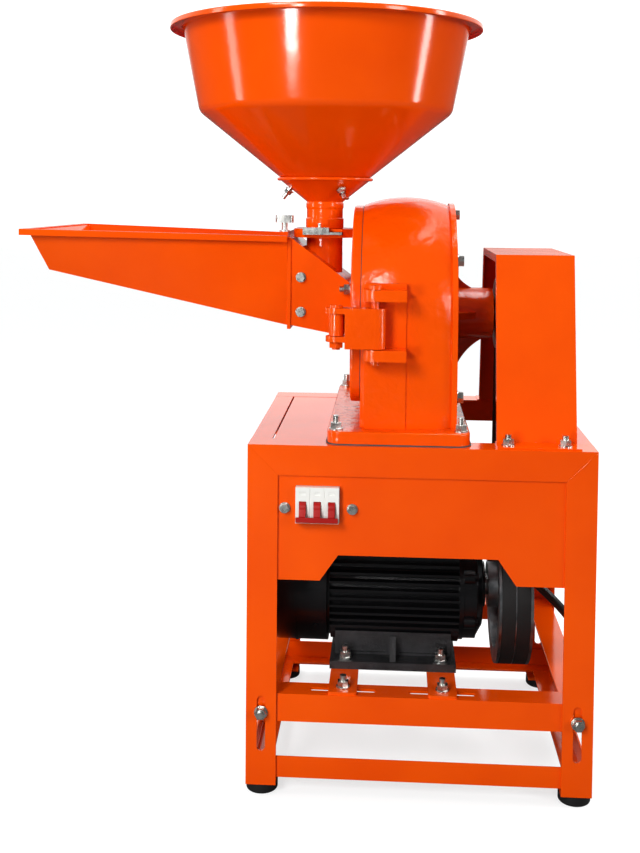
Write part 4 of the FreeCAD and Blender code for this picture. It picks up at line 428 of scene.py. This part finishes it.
def coil_points(turns, per_turn):
    """The coil: radius and height as functions of the angle turned, from the front, going left."""
    angle = np.linspace(0.0, turns * 2 * np.pi, int(turns * per_turn))[1:]
    share = angle / (2 * np.pi)
    radius = np.interp(share, [0.0, 0.9, 1.2, 1.9, 2.2, 3.2], [68.5, 66.5, 56.0, 55.5, 56.0, 66.0])
    height = np.interp(share, [0.0, 1.9, 2.25, 3.2], [6.0, 6.0, 17.0, 17.0])
    x = COIL_CENTRE[0] - radius * np.sin(angle)
    y = COIL_CENTRE[1] - radius * np.cos(angle)
    return [tuple(float(v) for v in p) for p in np.stack([x, y, height], axis=1)]


points = [tuple(v * MM for v in p) for p in ROUTE + coil_points(3.1, 14)]
cord_curve = bpy.data.curves.new("supply_lead", "CURVE")
cord_curve.dimensions = "3D"
cord_curve.bevel_depth = CORD_DIAMETER / 2
cord_curve.bevel_resolution = 5
cord_curve.use_fill_caps = True
spline = cord_curve.splines.new("NURBS")
spline.points.add(len(points) - 1)
for point, place in zip(spline.points, points):
    point.co = (*place, 1.0)
spline.order_u = 3
spline.use_endpoint_u = True
spline.resolution_u = 8
cord_curve.materials.append(vinyl)
supply_lead = bpy.data.objects.new("supply_lead", cord_curve)
bpy.context.scene.collection.objects.link(supply_lead)
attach(supply_lead, "stand")
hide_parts("supply_cord", "cord_coil")
runs = np.linalg.norm(np.diff(np.array(points), axis=0), axis=1)
print("cord route, straight runs added:", round(float(runs.sum()), 2), "m")

# %% [markdown]
# Round sheet work, such as the spun hopper, is a profile carried once round an axis. The profile is the
# sheet's own section, both faces and both edges, and each of its corners is rounded as a spinner's roller
# leaves it, so the rim, the shoulder and the foot of the cone catch a soft line of light.

# %% Spun sheet


def rounded(corners, radii, steps=7):
    """A closed section with each corner replaced by a quadratic curve that starts and ends a radius away."""
    corners = np.array(corners, float)
    before = np.roll(corners, 1, axis=0) - corners
    after = np.roll(corners, -1, axis=0) - corners
    length_in = np.linalg.norm(before, axis=1, keepdims=True)
    length_out = np.linalg.norm(after, axis=1, keepdims=True)
    reach = np.minimum(np.array(radii, float)[:, None], 0.48 * np.minimum(length_in, length_out))
    start = corners + before / length_in * reach
    end = corners + after / length_out * reach
    t = np.linspace(0, 1, steps)[None, :, None]
    curve = (1 - t) ** 2 * start[:, None] + 2 * t * (1 - t) * corners[:, None] + t ** 2 * end[:, None]
    return curve.reshape(-1, 2)


def grid_piece(name, grid, material, body, close_u=False, close_v=False, caps=False):
    """A mesh from a grid of points in millimetres, rows along u and columns along v, closed where asked."""
    rows, columns = grid.shape[:2]
    r = np.arange(rows if close_u else rows - 1)
    c = np.arange(columns if close_v else columns - 1)
    rr, cc = np.meshgrid(r, c, indexing="ij")
    r2, c2 = (rr + 1) % rows, (cc + 1) % columns
    quads = np.stack([rr * columns + cc, r2 * columns + cc, r2 * columns + c2, rr * columns + c2], -1)
    faces = [tuple(int(v) for v in q) for q in quads.reshape(-1, 4)]
    if caps:
        faces += [tuple(range(columns))[::-1], tuple(range((rows - 1) * columns, rows * columns))]
    mesh = bpy.data.meshes.new(name)
    mesh.from_pydata((grid.reshape(-1, 3) * MM).tolist(), [], faces)
    mesh.polygons.foreach_set("use_smooth", np.ones(len(mesh.polygons), bool))
    mesh.materials.append(material)
    piece = bpy.data.objects.new(name, mesh)
    bpy.context.scene.collection.objects.link(piece)
    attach(piece, body)
    return piece


def spun(name, section, axis_x, axis_y, material, body, steps):
    """A closed section of radius and height carried round an upright axis in equal steps."""
    angle = np.linspace(0, 2 * np.pi, steps, endpoint=False)
    radius, height = section[:, 0], section[:, 1]
    x = axis_x + radius[None] * np.cos(angle)[:, None]
    y = axis_y + radius[None] * np.sin(angle)[:, None]
    z = np.broadcast_to(height[None], x.shape)
    return grid_piece(name, np.stack([x, y, z], -1), material, body, close_u=True, close_v=True)


TOP = 443.0
HOPPER_X = -133.0
hopper_section = rounded(
    [(214.5, TOP + 541), (214.5, TOP + 534), (212.5, TOP + 534), (212.3, TOP + 539), (197.2, TOP + 539),
     (174.3, TOP + 423), (37, TOP + 313.7), (33.8, TOP + 313.7), (172.3, TOP + 423.8), (195.0, TOP + 541)],
    [2.2, 0.8, 0.8, 1.0, 4.0, 7.0, 0.8, 0.8, 6.0, 3.0])
spun_hopper = spun("spun_hopper", hopper_section, HOPPER_X, 0.0, sheet_enamel, "door_unit", 256)
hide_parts("hopper")
print("hopper faces:", len(spun_hopper.data.polygons))

# %% [markdown]
# The cup under the hopper is the same kind of work: a short cone that the hopper nests in, a bead round
# its rim, and a neck with a swaged ring at its top and a clamping ring at its foot.

# %% Hopper cup
SLOPE = (423.0 - 334.0) / (174.3 - 62.5)


def cone_height(radius, below):
    """Height of the cup's cone at a radius, a distance below the hopper's outer face."""
    return TOP + 334.0 + (radius - 62.5) * SLOPE - below * math.sqrt(1 + SLOPE ** 2)


UNDER, OVER = 2.8, 0.3
cup_section = rounded(
    [(22.5, TOP + 264), (26.2, TOP + 264.2), (26.2, TOP + 277.5), (25.0, TOP + 278.5),
     (25.0, cone_height(25, UNDER) - 10), (26.0, cone_height(25, UNDER) - 8), (26.0, cone_height(25, UNDER) - 2),
     (25.0, cone_height(25, UNDER)), (61.5, cone_height(61.5, UNDER)),
     (65.5, cone_height(61.5, UNDER) - 0.4), (66.8, cone_height(61.5, UNDER) + 2.5),
     (65.2, cone_height(61.5, OVER) + 1.3), (61.5, cone_height(61.5, OVER)),
     (22.5, cone_height(22.5, OVER))],
    [0.5, 1.0, 1.0, 0.6, 0.8, 1.2, 1.2, 0.8, 1.0, 1.6, 2.2, 1.6, 0.8, 0.8])
hopper_cup = spun("hopper_cup", cup_section, HOPPER_X, 0.0, sheet_enamel, "door_unit", 128)
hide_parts("hopper_collar")
print("cup from", round(float(cup_section[:, 1].min())), "to", round(float(cup_section[:, 1].max())), "mm high")

# %% [markdown]
# Where the cord leaves the breaker's gland a tapered vinyl sleeve keeps it from kinking. It is a profile
# turned round the cord's first run, thinning from 17 to 12 mm, with six shallow grooves so that it bends
# evenly. A strap holds the put-away turns of the coil together.

# %% Bend sleeve and coil strap
start = np.array(ROUTE[0], float)
heading = np.array(ROUTE[1], float) - start
heading /= np.linalg.norm(heading)
side = np.cross(heading, [0, 0, 1.0])
side /= np.linalg.norm(side)
upward = np.cross(side, heading)
along = np.linspace(0.0, 38.0, 77)
sleeve_radius = 8.4 - 2.4 * along / 38.0 - 0.55 * (np.sin(along / 38.0 * 6 * 2 * np.pi) > 0.6)
sleeve_radius[[0, -1]] = 5.7
angle = np.linspace(0, 2 * np.pi, 32, endpoint=False)
circle = np.cos(angle)[:, None] * side + np.sin(angle)[:, None] * upward
sleeve_grid = start + along[:, None, None] * heading + sleeve_radius[:, None, None] * circle[None]
bend_sleeve = grid_piece("bend_sleeve", sleeve_grid, vinyl, "stand", close_v=True, caps=True)

loop = np.linspace(0, 2 * np.pi, 40, endpoint=False)
strap_r = 61.0 + 13.2 * np.sign(np.cos(loop)) * np.abs(np.cos(loop)) ** 0.6
strap_z = 11.6 + 11.3 * np.sign(np.sin(loop)) * np.abs(np.sin(loop)) ** 0.6
around = math.radians(60.0) + np.array([-0.10, -0.097, 0.097, 0.10])
inset = np.array([1.0, 0.0, 0.0, 1.0])
strap_x = COIL_CENTRE[0] + (strap_r[:, None] - inset * np.cos(loop)[:, None]) * np.cos(around)[None]
strap_y = COIL_CENTRE[1] + (strap_r[:, None] - inset * np.cos(loop)[:, None]) * np.sin(around)[None]
strap_h = np.broadcast_to(strap_z[:, None], strap_x.shape)
coil_strap = grid_piece("coil_strap", np.stack([strap_x, strap_y, strap_h], -1), black_plastic, "stand",
                        close_u=True)
band = coil_strap.modifiers.new("strap_thickness", "SOLIDIFY")
band.thickness = 1.2 * MM
band.offset = 1.0
print("sleeve length 38 mm, strap width", round(0.2 * 61.0, 1), "mm")
